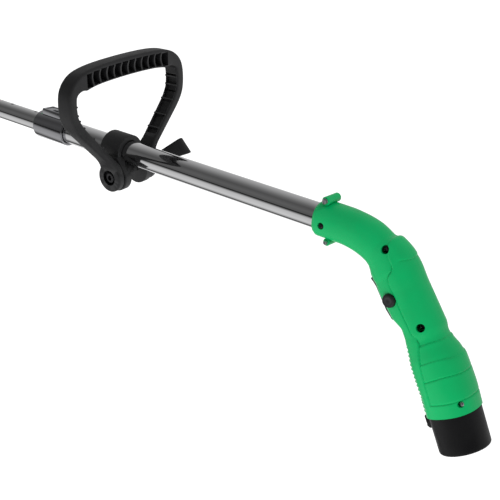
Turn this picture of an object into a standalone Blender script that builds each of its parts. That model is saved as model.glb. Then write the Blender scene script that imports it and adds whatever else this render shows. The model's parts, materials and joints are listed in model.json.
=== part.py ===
"""Cordless snow shovel: a battery pistol handle, a telescopic tube with a bail handle, and a single-rotor head.

Lengths are in millimetres and are turned into metres when a mesh is made. The world frame stands on the ground
with +Y forward and +Z up, and its origin is below the rotor's axis. Five child frames carry the other pieces:
  tool  y runs along the tube towards the head, z is the tube's upper side, origin at the handle's mouth
  grip  the tool frame bent down by GRIP_BEND, origin where the handle's bend ends
  pack  the tool frame bent down by PACK_BEND, on the battery's axis
  clamp the tool frame rolled about the tube by CLAMP_ROLL
  bail  the clamp frame leaned forward by BAIL_LEAN, on the bail handle's cross bolt
"""
import math

import bmesh
import bpy
from mathutils import Matrix, Vector

MM = 0.001
GAP = 0.3                   # gap between pieces that touch

# Driving dimensions
TUBE_R = 12.5               # outer tube
INNER_R = 10.4              # inner tube
TUBE_TILT = 45.0            # degrees, head down
TUBE_LENGTH = 911.5         # handle mouth to the lower end of the inner tube
TUBE_END = Vector((0.0, -105.0, 140.0))
COLLAR = (336.5, 381.5)     # span of the lock collar along the tube
CLAMP = (245.5, 272.5)      # span of the bail clamp along the tube
BOLT_Y = 248.8              # cross bolt of the bail handle
BOLT_Z = -22.0
CLAMP_ROLL = 5.0
BAIL_LEAN = 2.9
NECK_STRAIGHT = 26.5        # straight part of the handle behind its mouth
NECK_BEND_R = 80.0
GRIP_BEND = 53.0
GRIP_STRAIGHT = 105.0
PACK_BEND_R = 60.0
PACK_BEND = 62.0
SHELL_END = 228.5           # length of the green shells along the handle's spine
WALL = 2.0
PACK_R = 24.3
PACK_SIDE = -0.8            # the battery's axis lies this far in front of the spine
ROTOR_Z = 82.0
ROTOR_R = 70.0
SCOOP_R = 79.0              # outside of the scoop's round back
SCOOP_WALL = 3.0
SCOOP_HALF = 140.0          # half of the clear width between the side plates
BELT_DRIVE = 106.0          # rotor axis to motor axis
MOTOR_ANGLE = 112.0
BELT_X = -152.0

# Handle sections: place on the spine, half depth to the back, half depth to the front, half width
SECTIONS = (
    (0.0, 15.6, 15.6, 15.6), (3.0, 17.3, 17.3, 17.3), (38.0, 17.0, 17.5, 17.3), (56.0, 18.0, 17.0, 17.5),
    (68.0, 17.2, 16.6, 17.8), (74.0, 20.6, 17.2, 18.5), (84.0, 22.0, 21.5, 19.5), (106.0, 22.4, 23.6, 20.5),
    (131.5, 22.6, 21.5, 20.5), (142.5, 22.6, 15.6, 20.5), (158.5, 22.6, 17.5, 21.0), (167.0, 22.8, 19.3, 22.4),
    (175.0, 25.8, 21.2, 24.2), (184.0, 27.2, 22.6, 24.6), (196.0, 26.2, 24.3, 24.8), (212.0, 24.2, 25.8, 25.0),
    (228.5, 23.4, 26.0, 25.0),
)
SECTION_POWER = 2.3         # 2 is an ellipse, more is squarer

MATERIALS = {
    "green_plastic": ((0.0, 0.36, 0.11), 0.38, 0.0),
    "black_plastic": ((0.02, 0.02, 0.022), 0.5, 0.0),
    "chrome": ((0.8, 0.8, 0.82), 0.12, 1.0),
    "steel": ((0.55, 0.55, 0.57), 0.3, 1.0),
    "rotor_plastic": ((0.03, 0.03, 0.03), 0.6, 0.0),
    "copper": ((0.8, 0.45, 0.2), 0.3, 1.0),
    "belt_rubber": ((0.015, 0.015, 0.015), 0.8, 0.0),
    "cell_sleeve": ((0.1, 0.25, 0.6), 0.4, 0.0),
    "board": ((0.02, 0.2, 0.08), 0.5, 0.0),
}


# ---------------------------------------------------------------- mesh helpers

def clear_scene():
    for old in list(bpy.data.objects):
        bpy.data.objects.remove(old, do_unlink=True)


def material(name):
    if name in bpy.data.materials:
        return bpy.data.materials[name]
    colour, roughness, metallic = MATERIALS[name]
    made = bpy.data.materials.new(name)
    made.use_nodes = True
    shader = made.node_tree.nodes["Principled BSDF"]
    shader.inputs["Base Color"].default_value = (*colour, 1.0)
    shader.inputs["Roughness"].default_value = roughness
    shader.inputs["Metallic"].default_value = metallic
    return made


def frame(name, location, tilt=0.0, parent=None):
    """An empty turned by tilt degrees about X."""
    empty = bpy.data.objects.new(name, None)
    empty.location = Vector(location) * MM
    empty.rotation_euler = (math.radians(tilt), 0.0, 0.0)
    empty.parent = parent
    bpy.context.scene.collection.objects.link(empty)
    return empty


def mesh_object(bm, name="shape"):
    """Turn a bmesh in millimetres into an object in metres."""
    bmesh.ops.remove_doubles(bm, verts=bm.verts, dist=1e-5)
    bmesh.ops.recalc_face_normals(bm, faces=bm.faces)
    bmesh.ops.scale(bm, vec=(MM, MM, MM), verts=bm.verts)
    mesh = bpy.data.meshes.new(name)
    bm.to_mesh(mesh)
    bm.free()
    shape = bpy.data.objects.new(name, mesh)
    bpy.context.scene.collection.objects.link(shape)
    return shape


def ring_faces(bm, first, second, closed=True):
    """Faces between two rings of vertices, where a ring may be a single point."""
    count = max(len(first), len(second))
    for i in range(count if closed else count - 1):
        j = (i + 1) % count
        corners = []
        for vert in (first[i % len(first)], first[j % len(first)],
                     second[j % len(second)], second[i % len(second)]):
            if vert not in corners:
                corners.append(vert)
        bm.faces.new(corners)


def turned(profile, segments, axis="Z", centre=(0, 0, 0), closed=False):
    """A turned solid from (radius, height) points. A closed profile makes a ring with a bore."""
    bm = bmesh.new()
    rings = []
    for radius, height in profile:
        count = segments if radius > 0 else 1
        ring = []
        for i in range(count):
            angle = 2 * math.pi * i / segments
            ring.append(bm.verts.new((radius * math.cos(angle), radius * math.sin(angle), height)))
        rings.append(ring)
    for first, second in zip(rings, rings[1:]):
        ring_faces(bm, first, second)
    if closed:
        ring_faces(bm, rings[-1], rings[0])
    turns = {"Z": Matrix.Identity(3), "Y": Matrix.Rotation(-math.pi / 2, 3, "X"),
             "X": Matrix.Rotation(math.pi / 2, 3, "Y")}
    bmesh.ops.rotate(bm, matrix=turns[axis], verts=bm.verts)
    bmesh.ops.translate(bm, vec=Vector(centre), verts=bm.verts)
    return mesh_object(bm)


def rod(radius, low, high, segments=24, axis="Z", centre=(0, 0, 0)):
    return turned([(0, low), (radius, low), (radius, high), (0, high)], segments, axis, centre)


def pipe(outer, inner, low, high, segments=32, axis="Z", centre=(0, 0, 0)):
    profile = [(outer, high), (outer, low), (inner, low), (inner, high)]
    return turned(profile, segments, axis, centre, closed=True)


def prism(outline, low, high):
    """A (y, z) outline drawn out along x."""
    bm = bmesh.new()
    ends = [[bm.verts.new((x, y, z)) for y, z in outline] for x in (low, high)]
    ring_faces(bm, *ends)
    for end in ends:
        bm.faces.new(end)
    return mesh_object(bm)


def box(low, high, bevel=0.0):
    bm = bmesh.new()
    size = Vector(high) - Vector(low)
    middle = (Vector(high) + Vector(low)) / 2
    bmesh.ops.create_cube(bm, size=1.0, matrix=Matrix.Translation(middle) @ Matrix.Diagonal((*size, 1.0)))
    if bevel:
        bmesh.ops.bevel(bm, geom=bm.edges[:], offset=bevel, segments=1, affect="EDGES")
    return mesh_object(bm)


def loft(rings, cap=True, around=True):
    """A skin through rings of points, capped at both ends or closed on itself around."""
    bm = bmesh.new()
    made = [[bm.verts.new(point) for point in ring] for ring in rings]
    for first, second in zip(made, made[1:]):
        ring_faces(bm, first, second, closed=around)
    if cap:
        bm.faces.new(made[0])
        bm.faces.new(made[-1])
    return mesh_object(bm)


def coil(radius, wire, turns, low, high, axis="Z", centre=(0, 0, 0), per_turn=10, sides=5):
    """A helical spring or coiled cord."""
    steps = int(turns * per_turn)
    rings = []
    rise = (high - low - 2 * wire) / steps
    for i in range(steps + 1):
        angle = 2 * math.pi * i / per_turn
        out = Vector((math.cos(angle), math.sin(angle), 0.0))
        middle = out * radius + Vector((0, 0, low + wire + rise * i))
        ring = []
        for k in range(sides):
            turn = 2 * math.pi * k / sides
            ring.append(middle + out * (wire * math.cos(turn)) + Vector((0, 0, wire * math.sin(turn))))
        rings.append(ring)
    spring = loft(rings)
    turns_to = {"Z": Matrix.Identity(4), "Y": Matrix.Rotation(-math.pi / 2, 4, "X"),
                "X": Matrix.Rotation(math.pi / 2, 4, "Y")}
    spring.data.transform(Matrix.Translation(Vector(centre) * MM) @ turns_to[axis])
    return spring


def combine(base, tool, operation):
    """Apply one exact Boolean to base and remove the tool."""
    tool.hide_render = True
    tool.display_type = "WIRE"
    change = base.modifiers.new(operation.lower(), "BOOLEAN")
    change.object = tool
    change.operation = operation
    change.solver = "EXACT"
    bpy.context.view_layer.update()
    result = bpy.data.meshes.new_from_object(base.evaluated_get(bpy.context.evaluated_depsgraph_get()))
    base.modifiers.clear()
    base.data = result
    bpy.data.objects.remove(tool, do_unlink=True)
    return base


def union(base, *tools):
    for tool in tools:
        combine(base, tool, "UNION")
    return base


def cut(base, *tools):
    for tool in tools:
        combine(base, tool, "DIFFERENCE")
    return base


def node(shape, name, colour, parent=None, origin=(0, 0, 0), crease=35.0):
    """Name a finished shape, and put its origin at a point of its parent's frame."""
    shape.name = name
    shape.data.name = name
    shape.parent = parent
    shift = Vector(origin) * MM
    shape.data.transform(Matrix.Translation(-shift))
    shape.location = shift
    shape.data.materials.clear()
    shape.data.materials.append(material(colour))
    shape.data.shade_smooth()
    shape.data.set_sharp_from_angle(angle=math.radians(crease))
    return shape


def arc(centre, radius, start, end, count):
    """Points on an arc, in degrees, as (y, z)."""
    points = []
    for i in range(count + 1):
        angle = math.radians(start + (end - start) * i / count)
        points.append((centre[0] + radius * math.cos(angle), centre[1] + radius * math.sin(angle)))
    return points


def belt_outline(low, low_r, high, high_r, count=10):
    """The outline of a belt round two circles whose centres are low and high."""
    run = Vector(high) - Vector(low)
    heading = math.degrees(math.atan2(run.y, run.x))
    lead = math.degrees(math.acos((low_r - high_r) / run.length))
    big = arc(low, low_r, heading + lead, heading + 360.0 - lead, count * 2)
    small = arc(high, high_r, heading - lead, heading + lead, count)
    return big + small


# ---------------------------------------------------------------- handle spine and shells

def spine(place):
    """Point (y, z) and downward angle of the handle's spine at a distance from its mouth."""
    neck = NECK_BEND_R * math.radians(GRIP_BEND)
    bend_two = PACK_BEND_R * math.radians(PACK_BEND - GRIP_BEND)
    y = z = angle = 0.0
    for length, radius in ((NECK_STRAIGHT, None), (neck, NECK_BEND_R), (GRIP_STRAIGHT, None),
                           (bend_two, PACK_BEND_R), (1e6, None)):
        step = min(place, length)
        if radius is None:
            y -= step * math.cos(angle)
            z -= step * math.sin(angle)
        else:
            turned_to = angle + step / radius
            y -= radius * (math.sin(turned_to) - math.sin(angle))
            z -= radius * (math.cos(angle) - math.cos(turned_to))
            angle = turned_to
        place -= step
        if place <= 0:
            break
    return Vector((0.0, y, z)), angle


GRIP_START = NECK_STRAIGHT + NECK_BEND_R * math.radians(GRIP_BEND)
PACK_START = GRIP_START + GRIP_STRAIGHT + PACK_BEND_R * math.radians(PACK_BEND - GRIP_BEND)


def grip_y(place):
    return GRIP_START - place


def pack_y(place):
    return PACK_START - place


def section(place):
    """Half depth to the back and front and half width of the handle, between the listed sections."""
    for low, high in zip(SECTIONS, SECTIONS[1:]):
        if place <= high[0]:
            part = (place - low[0]) / (high[0] - low[0])
            return [a + (b - a) * part for a, b in zip(low[1:], high[1:])]
    return list(SECTIONS[-1][1:])


def inner_section(place):
    """The hollow inside: a bore for the tube in the neck, then the outside less the wall."""
    bore = TUBE_R + GAP
    part = min(1.0, max(0.0, (place - NECK_STRAIGHT) / 8.0))
    return [bore + (max(size - WALL, bore) - bore) * part for size in section(place)]


def shell_places():
    return sorted({row[0] for row in SECTIONS} | {NECK_STRAIGHT + 3.0, 47.0, 62.0, 95.0, 118.0})


def half_ring(place, sizes, side, steps=8):
    """One side of a section, from its back seam to its front seam."""
    back, front, width = sizes
    middle, angle = spine(place)
    out = Vector((0.0, -math.sin(angle), math.cos(angle)))
    points = []
    for i in range(steps + 1):
        turn = math.pi * i / steps
        rise = math.copysign(abs(math.cos(turn)) ** (2 / SECTION_POWER), math.cos(turn))
        reach = abs(math.sin(turn)) ** (2 / SECTION_POWER) if 0 < i < steps else 0.0
        depth = back if rise > 0 else front
        sideways = side * (GAP / 2 + (width - GAP / 2) * reach)
        points.append(middle + out * (depth * rise) + Vector((sideways, 0.0, 0.0)))
    return points


def half_shell(side):
    """One moulded handle half: an outer skin and an inner skin joined along the seams and the ends."""
    rings = []
    for place in shell_places():
        outer = half_ring(place, section(place), side)
        inner = half_ring(place, inner_section(place), side)
        rings.append(outer + inner[::-1])
    bm = bmesh.new()
    made = [[bm.verts.new(point) for point in ring] for ring in rings]
    for first, second in zip(made, made[1:]):
        ring_faces(bm, first, second)
    count = len(made[0])
    for ring in (made[0], made[-1]):
        for i in range(count // 2 - 1):
            bm.faces.new((ring[i], ring[i + 1], ring[count - 2 - i], ring[count - 1 - i]))
    return mesh_object(bm)


# Cross screws of the shells: place on the spine and height over it
SHELL_SCREWS = ((75.0, 12.6), (146.8, 10.4))
NECK_SCREW = (11.0, -2.0)
END_SCREW = (218.5, 18.2)
END_FLOOR = 16.6            # depth of the end screw's recess, measured from the middle of the handle
# Slots across the front: start and end on the spine, half width
FRONT_SLOTS = ((57.5, 66.5, 8.2), (145.6, 152.6, 6.5))
MOUTH_BOSSES = ((-9.0, 20.0, 4.2), (-15.0, -18.6, 3.6))
BOSS_HALF = 10.5
TRIGGER_PIVOT = (grip_y(131.5), -12.0)
TRIGGER_HALF = 4.8
BUTTON = (grip_y(114.5), -7.3)
BUTTON_R = 6.3
HEAD_FLOOR = 12.0           # depth of a screw's recess, measured from the middle of the handle
RECESS_R = 3.9


def spine_point(place, height):
    middle, angle = spine(place)
    return middle + Vector((0.0, -math.sin(angle), math.cos(angle))) * height


def cross_rod(radius, low, high, at, segments=16):
    """A rod along x between two x values, through the (y, z) point at."""
    return rod(radius, low, high, segments, "X", (0.0, at[0], at[1]))


def tool_from_grip(point):
    """A (y, z) point of the grip frame, in the tool frame."""
    middle, angle = spine(GRIP_START)
    y, z = point
    return (middle.y + y * math.cos(angle) - z * math.sin(angle),
            middle.z + y * math.sin(angle) + z * math.cos(angle))


def trigger_opening():
    """The slot in the front of both shells, drawn in the tool frame."""
    corners = ((12.0, -45.0), (12.0, -9.0), (-26.0, -9.0), (-38.0, -14.0), (-38.0, -45.0))
    return prism([tool_from_grip(corner) for corner in corners], -TRIGGER_HALF - 0.6, TRIGGER_HALF + 0.6)


def front_slot(start, end, half):
    """A cutter through the front wall of both shells, drawn in the tool frame."""
    inner, outer = -12.0, -40.0
    corners = [spine_point(*at) for at in ((start, inner), (start, outer), (end, outer), (end, inner))]
    return prism([(corner.y, corner.z) for corner in corners], -half, half)


def handle_shell(side):
    shell = half_shell(side)
    edge = GAP / 2
    for y, z, radius in MOUTH_BOSSES:
        ends = sorted((side * edge, side * BOSS_HALF))
        union(shell, cross_rod(radius, *ends, (y, z)))
    for place, height in SHELL_SCREWS:
        at = spine_point(place, height)
        reach = section(place)[2] - 3.2
        union(shell, cross_rod(4.6, *sorted((side * edge, side * reach)), (at.y, at.z)))
    pin = tool_from_grip(TRIGGER_PIVOT)
    union(shell, cross_rod(3.0, *sorted((side * 9.8, side * 16.0)), pin, 12))
    cut(shell, trigger_opening(), *[front_slot(*slot) for slot in FRONT_SLOTS])
    bore = rod(TUBE_R + GAP, -NECK_STRAIGHT, 20.0, 48, "Y")
    cut(shell, bore)
    for y, z, radius in MOUTH_BOSSES:
        cut(shell, cross_rod(1.8, -BOSS_HALF - 1, BOSS_HALF + 1, (y, z), 12))
    for place, height in SHELL_SCREWS:
        at = spine_point(place, height)
        cut(shell, cross_rod(1.7, -40, 11.0, (at.y, at.z), 12))
        if side < 0:
            cut(shell, cross_rod(RECESS_R, -40, -HEAD_FLOOR, (at.y, at.z), 18))
    if side < 0:
        at = spine_point(*NECK_SCREW)
        cut(shell, cross_rod(RECESS_R, -40, -15.3, (at.y, at.z), 18))
        cut(shell, cross_rod(1.7, -40, 0, (at.y, at.z), 12))
        cut(shell, cross_rod(BUTTON_R + 0.4, -40, -10, tool_from_grip(BUTTON), 24))
        at = spine_point(*END_SCREW)
        cut(shell, cross_rod(2.6, -40, -END_FLOOR, (at.y, at.z), 18))
        cut(shell, cross_rod(1.5, -40, -10, (at.y, at.z), 12))
    return shell


def screw(at, head_x, tip_x, head_r=3.0, shank_r=1.4, head_height=2.0):
    """A pan-head screw along x whose head sits at the low end."""
    profile = [(0, head_x), (head_r * 0.75, head_x), (head_r, head_x + 0.5 * head_height),
               (head_r, head_x + head_height), (shank_r, head_x + head_height), (shank_r, tip_x), (0, tip_x)]
    body = turned(profile, 8, "X", (0.0, at[0], at[1]))
    reach = head_r * 0.7
    slot = box((head_x - 1, at[0] - 0.4, at[1] - reach), (head_x + 0.6, at[0] + 0.4, at[1] + reach))
    return cut(body, slot)


def handle_screws(tool):
    for name, (place, height) in zip(("shell_screw_upper", "shell_screw_lower"), SHELL_SCREWS):
        at = spine_point(place, height)
        node(screw((at.y, at.z), -HEAD_FLOOR - GAP - 2.0, 9.0), name, "steel", tool)
    at = spine_point(*NECK_SCREW)
    node(screw((at.y, at.z), -17.4, -9.2, head_height=1.8), "tube_screw", "steel", tool)
    at = spine_point(*END_SCREW)
    node(screw((at.y, at.z), -END_FLOOR - GAP - 1.6, -13.6, 2.2, 1.2, 1.6), "shell_screw_end", "steel", tool)
    for name, (y, z, radius) in zip(("mouth_screw_top", "mouth_screw_bottom"), MOUTH_BOSSES):
        head = -BOSS_HALF - GAP - 2.0
        node(screw((y, z), head, BOSS_HALF + 1.5, radius - 1.2), name, "steel", tool)


# ---------------------------------------------------------------- controls in the grip

SPRING_Y = 5.0


def trigger(grip):
    pivot_y, pivot_z = TRIGGER_PIVOT
    finger_face = [(10.5, -24.0), (9.6, -26.4), (6.0, -25.4), (1.0, -24.6), (-22.0, -25.0), (-32.0, -23.4)]
    inside = [(-35.5, -20.0), (-35.5, -12.5), (-33.0, -9.2), (-29.5, -8.8), (-26.0, -14.0), (10.5, -14.0)]
    lever = prism(finger_face + inside, -TRIGGER_HALF, TRIGGER_HALF)
    cut(lever, cross_rod(1.8, -10, 10, TRIGGER_PIVOT, 16))
    cut(lever, rod(3.2, -18.0, -10.0, 16, "Z", (0.0, SPRING_Y, 0.0)))
    node(lever, "trigger", "black_plastic", grip, (0.0, pivot_y, pivot_z))
    node(cross_rod(1.5, -9.5, 9.5, TRIGGER_PIVOT), "trigger_pin", "steel", grip)
    node(coil(2.3, 0.4, 4, -13.2, -7.9, centre=(0.0, SPRING_Y, 0.0)), "trigger_spring", "steel", grip)


def lock_off(grip):
    y, z = BUTTON
    profile = [(0, -22.8), (4.6, -22.6), (BUTTON_R - 0.4, -21.6), (BUTTON_R, -20.6), (BUTTON_R, -13.9),
               (7.0, -13.9), (7.0, -12.4), (4.6, -12.4), (4.6, -17.5), (0, -17.5)]
    node(turned(profile, 20, "X", (0.0, y, z)), "lock_off_button", "black_plastic", grip, (-18.0, y, z))
    node(coil(3.4, 0.4, 3, -13.4, -8.4, "X", (0.0, y, z)), "lock_off_spring", "steel", grip)


def switch(grip):
    body = box((-8.0, -22.0, -7.5), (8.0, 13.0, 8.0), 0.8)
    union(body, box((-2.5, -9.0, -9.2), (2.5, -4.0, -7.0)))
    for x in (-4.0, 4.0):
        union(body, box((x - 0.5, -26.5, -2.0), (x + 0.5, -21.0, 3.0)))
    node(body, "switch_body", "black_plastic", grip)


# ---------------------------------------------------------------- battery

CUP_TOP = pack_y(SHELL_END) - GAP
CUP_END = CUP_TOP - 36.0
STEM_R = 21.0
STEM_TOP = 35.0
CELL_R = 9.1
CELL_LENGTH = 65.0
LATCH = (-27.0, -14.4)      # span of the latch along the battery


def battery_case(pack):
    """A cup outside the handle and a sleeve inside it, open at the sleeve's top."""
    bore = STEM_R - 1.2
    inside = [(0, CUP_END + 3.0), (bore, CUP_END + 3.0), (bore, STEM_TOP), (STEM_R, STEM_TOP)]
    outside = [(STEM_R, CUP_TOP), (PACK_R - 0.5, CUP_TOP), (PACK_R, CUP_TOP - 1.0)]
    base = [(PACK_R - 0.3, CUP_END + 2.4), (PACK_R - 1.0, CUP_END + 0.7), (PACK_R - 2.6, CUP_END), (0, CUP_END)]
    case = turned(inside + outside + base, 48, "Y")
    cut(case, box((-7.5, LATCH[0] - 0.6, -40.0), (7.5, CUP_TOP + 5.0, -20.6)))
    node(case, "battery_case", "black_plastic", pack)


def battery_inside(pack):
    ring = CELL_R * 2 / math.sqrt(3) + 0.15
    for i in range(3):
        angle = math.radians(90 + 120 * i)
        centre = (ring * math.cos(angle), 0.0, ring * math.sin(angle))
        cell = rod(CELL_R, -37.0, -37.0 + CELL_LENGTH, 20, "Y", centre)
        node(cell, f"battery_cell_{i + 1}", "cell_sleeve", pack)
    cap = rod(STEM_R - 1.5, 29.0, STEM_TOP, 32, "Y")
    node(cap, "battery_cap", "black_plastic", pack)
    contacts = box((-9.0, STEM_TOP + GAP, -4.0), (9.0, STEM_TOP + 1.2, 4.0))
    for x in (-6.0, 0.0, 6.0):
        union(contacts, box((x - 0.8, STEM_TOP + 0.8, -3.0), (x + 0.8, STEM_TOP + 3.0, 3.0)))
    node(contacts, "battery_contacts", "copper", pack)


def terminal_block(pack):
    low = STEM_TOP + 3.6
    block = box((-10.0, low, -8.0), (10.0, low + 8.0, 8.0), 0.6)
    for x in (-6.0, 0.0, 6.0):
        union(block, box((x - 0.6, low + 7.0, -2.5), (x + 0.6, low + 12.0, 2.5)))
    node(block, "terminal_block", "black_plastic", pack)


def battery_latch(pack):
    low, high = LATCH
    outline = [(high, -28.6), (high - 0.8, -29.4), (low + 2.0, -29.0), (low, -27.0)]
    key = prism(outline + [(low, -22.8), (high, -22.8)], -6.9, 6.9)
    cut(key, rod(2.3, -25.5, -20.0, 14, "Z", (0.0, -20.0, 0.0)))
    node(key, "battery_latch", "black_plastic", pack, (0.0, -20.0, -25.0))
    spring = coil(1.5, 0.3, 2, -23.0, -20.9, centre=(0.0, -20.0, 0.0), per_turn=8)
    node(spring, "latch_spring", "steel", pack)


# ---------------------------------------------------------------- tube

SLEEVE_STOP = 363.5         # the outer tube ends here, inside the collar
INNER_START = 299.5
ROCKER_PIVOT = (360.5, 17.0)


def tubes(tool):
    outer = pipe(TUBE_R, TUBE_R - 1.1, -NECK_STRAIGHT + 2.0, SLEEVE_STOP, 48, "Y")
    at = spine_point(*NECK_SCREW)
    cut(outer, cross_rod(1.7, -40, 0, (at.y, at.z), 12))
    node(outer, "outer_tube", "chrome", tool)
    inner = pipe(INNER_R, INNER_R - 1.0, INNER_START, TUBE_LENGTH, 38, "Y")
    notches = [rod(1.9, 5.0, 20.0, 12, "Z", (0.0, COLLAR[1] + 12.0 + 40.0 * i, 0.0)) for i in range(3)]
    cut(inner, *notches)
    node(inner, "inner_tube", "chrome", tool)
    bush = pipe(TUBE_R - 1.2, INNER_R + 0.1, SLEEVE_STOP - 26.0, SLEEVE_STOP - 2.0, 40, "Y")
    node(bush, "guide_bush", "black_plastic", tool)
    cord = coil(5.4, 1.5, 12, 120.0, 260.0, "Y", per_turn=8, sides=4)
    node(cord, "coiled_cable", "black_plastic", tool)


def collar(tool):
    low, high = COLLAR
    outer = 15.5
    shoulder = SLEEVE_STOP + GAP
    profile = [(TUBE_R + GAP, low), (TUBE_R + GAP, shoulder), (INNER_R + GAP, shoulder), (INNER_R + GAP, high),
               (outer - 0.6, high), (outer, high - 0.8), (outer, low + 0.8), (outer - 0.6, low)]
    sleeve = turned(profile, 48, "Y", closed=True)
    union(sleeve, box((-8.5, 345.5, 12.9), (8.5, 374.5, 20.4), 1.0))
    cut(sleeve, rod(TUBE_R + GAP, low - 5, shoulder, 48, "Y"))
    cut(sleeve, box((-5.4, 348.5, 14.4), (5.4, 371.5, 30.0)))
    cut(sleeve, rod(2.4, 5.0, 20.0, 16, "Z", (0.0, 368.0, 0.0)))
    node(sleeve, "lock_collar", "chrome", tool)


def rocker(tool):
    pivot_y, pivot_z = ROCKER_PIVOT
    underside = [(349.1, 16.6), (350.0, 16.2), (370.7, 16.2)]
    top = [(370.7, 19.8), (362.5, 20.0), (358.5, 21.0), (353.5, 21.8), (350.1, 20.8), (349.1, 19.2)]
    lever = prism(underside + top, -4.9, 4.9)
    union(lever, rod(1.8, INNER_R + 0.5, 18.0, 14, "Z", (0.0, 368.0, 0.0)))
    cut(lever, rod(2.3, 10.0, 18.6, 14, "Z", (0.0, 353.5, 0.0)))
    node(lever, "lock_rocker", "steel", tool, (0.0, pivot_y, pivot_z))
    spring = coil(1.6, 0.3, 2, 14.7, 16.9, centre=(0.0, 353.5, 0.0), per_turn=8)
    node(spring, "rocker_spring", "steel", tool)


# ---------------------------------------------------------------- bail handle and its clamp

EAR_R = 16.5
EAR_OUT = 20.5
FOOT_OUT = 29.0
FOOT_R = 17.0
BOLT_END = 45.0
BOLT_R = 3.0
HEAD_RECESS = (8.2, 4.2)    # radius and depth of the recess for the bolt's head


def bail_clamp(clamp):
    bolt = (BOLT_Y, BOLT_Z)
    low, high = CLAMP
    ring = pipe(18.5, TUBE_R + 0.2, low, high, 44, "Y")
    ears = prism([(high, -1.0)] + arc(bolt, EAR_R, 12.0, -192.0, 16) + [(low, -1.0)], -EAR_OUT, EAR_OUT)
    union(ring, ears)
    cut(ring, rod(TUBE_R + 0.2, low - 30, high + 30, 44, "Y"))
    cut(ring, box((-11.8, low - 30, -60.0), (11.8, high + 30, -17.0)))
    cut(ring, box((-1.5, low - 30, -30.0), (1.5, high + 30, -8.0)))
    cut(ring, cross_rod(BOLT_R + GAP, -40, 40, bolt, 20))
    node(ring, "loop_clamp", "black_plastic", clamp, (0.0, (low + high) / 2, 0.0))


def bail_outline():
    """The right half of the bail's outer face as (x, z), from the foot to the middle of the bar."""
    foot = [(FOOT_OUT - 0.5, -4.0), (FOOT_OUT - 0.5, 8.0)]
    leg = [(34.0, 17.0), (47.0, 31.0), (60.0, 44.5), (74.5, 60.0)]
    bend = [(81.5, 71.0), (84.0, 82.0), (84.0, 95.0)]
    corner = [(81.5, 105.0), (75.0, 113.5), (65.0, 119.5)]
    bar = [(50.0, 122.8), (30.0, 124.4), (0.0, 125.0)]
    return foot + leg + bend + corner + bar


FOOT_THICK = FOOT_OUT - EAR_OUT - 1.5
BAIL_HALF = 9.5             # half of its depth, front to back
BAIL_THICKNESS = ((0.0, FOOT_THICK), (0.2, 7.0), (0.6, 8.0), (0.65, 10.0), (0.72, 15.0), (0.79, 19.0))
BAR_SLOTS = 12


def bail_ring(point, heading, thick):
    """A section of the bail: its outer face lies on the outline and it grows inwards by its thickness."""
    inward = Vector((-heading.z, 0.0, heading.x))
    half = BAIL_HALF
    outer = [(-half, 1.6), (-half + 1.6, 0.3), (0.0, 0.0), (half - 1.6, 0.3), (half, 1.6)]
    inner = [(half, thick - 1.5), (half - 1.5, thick), (-half + 1.5, thick), (-half, thick - 1.5)]
    return [point + Vector((0.0, along, 0.0)) + inward * depth for along, depth in outer + inner]


def bail_thickness(share):
    """Thickness at a share of the way from a foot to the middle of the bar."""
    for (s0, t0), (s1, t1) in zip(BAIL_THICKNESS, BAIL_THICKNESS[1:]):
        if share <= s1:
            return t0 + (t1 - t0) * (share - s0) / (s1 - s0)
    return BAIL_THICKNESS[-1][1]


def bar_height(x):
    """Height of the bar's outer face at a distance x from the middle."""
    outline = bail_outline()
    for (x0, z0), (x1, z1) in zip(outline, outline[1:]):
        if x1 <= x <= x0:
            return z0 + (z1 - z0) * (x0 - x) / (x0 - x1)
    return outline[-1][1]


def bail_stations():
    """The whole bail as (point, heading, thickness)."""
    half = [Vector((x, 0.0, z)) for x, z in bail_outline()]
    path = half + [Vector((-p.x, 0.0, p.z)) for p in reversed(half[:-1])]
    last = len(path) - 1
    stations = []
    for i, point in enumerate(path):
        heading = (path[min(i + 1, last)] - path[max(i - 1, 0)]).normalized()
        stations.append((point, heading, bail_thickness(min(i, last - i) / (last / 2))))
    return stations


def bail_loop(bail):
    loop = loft([bail_ring(*station) for station in bail_stations()])
    for side in (-1, 1):
        ends = sorted((side * (EAR_OUT + GAP), side * FOOT_OUT))
        union(loop, rod(FOOT_R, *ends, 32, "X"))
    radius, depth = HEAD_RECESS
    cut(loop, rod(BOLT_R + 0.4, -40, 40, 20, "X"))
    cut(loop, rod(radius, -40, -FOOT_OUT + depth, 24, "X"))
    for i in range(BAR_SLOTS):
        x = 55.0 * (2 * i / (BAR_SLOTS - 1) - 1)
        top = bar_height(abs(x) + 3.2)
        cut(loop, box((x - 3.2, -20.0, top - 15.5), (x + 3.2, 4.0, top - 3.0)))
    node(loop, "loop_handle", "black_plastic", bail)


def cross_bolt(bail):
    seat = -FOOT_OUT + HEAD_RECESS[1] - GAP
    head = [(0, seat - 2.8), (5.2, seat - 2.8), (5.5, seat - 2.4), (5.5, seat)]
    bolt = turned(head + [(BOLT_R, seat), (BOLT_R, BOLT_END), (0, BOLT_END)], 24, "X")
    cut(bolt, turned([(0, seat - 5.0), (2.6, seat - 5.0), (2.6, seat - 0.8), (0, seat - 0.8)], 6, "X"))
    node(bolt, "loop_bolt", "steel", bail)
    node(pipe(7.5, BOLT_R + GAP, FOOT_OUT + GAP, FOOT_OUT + 1.5, 24, "X"), "loop_washer", "steel", bail)


WING_ANGLE = 137.0          # direction of the first wing round the bolt, in the bail frame


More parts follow.
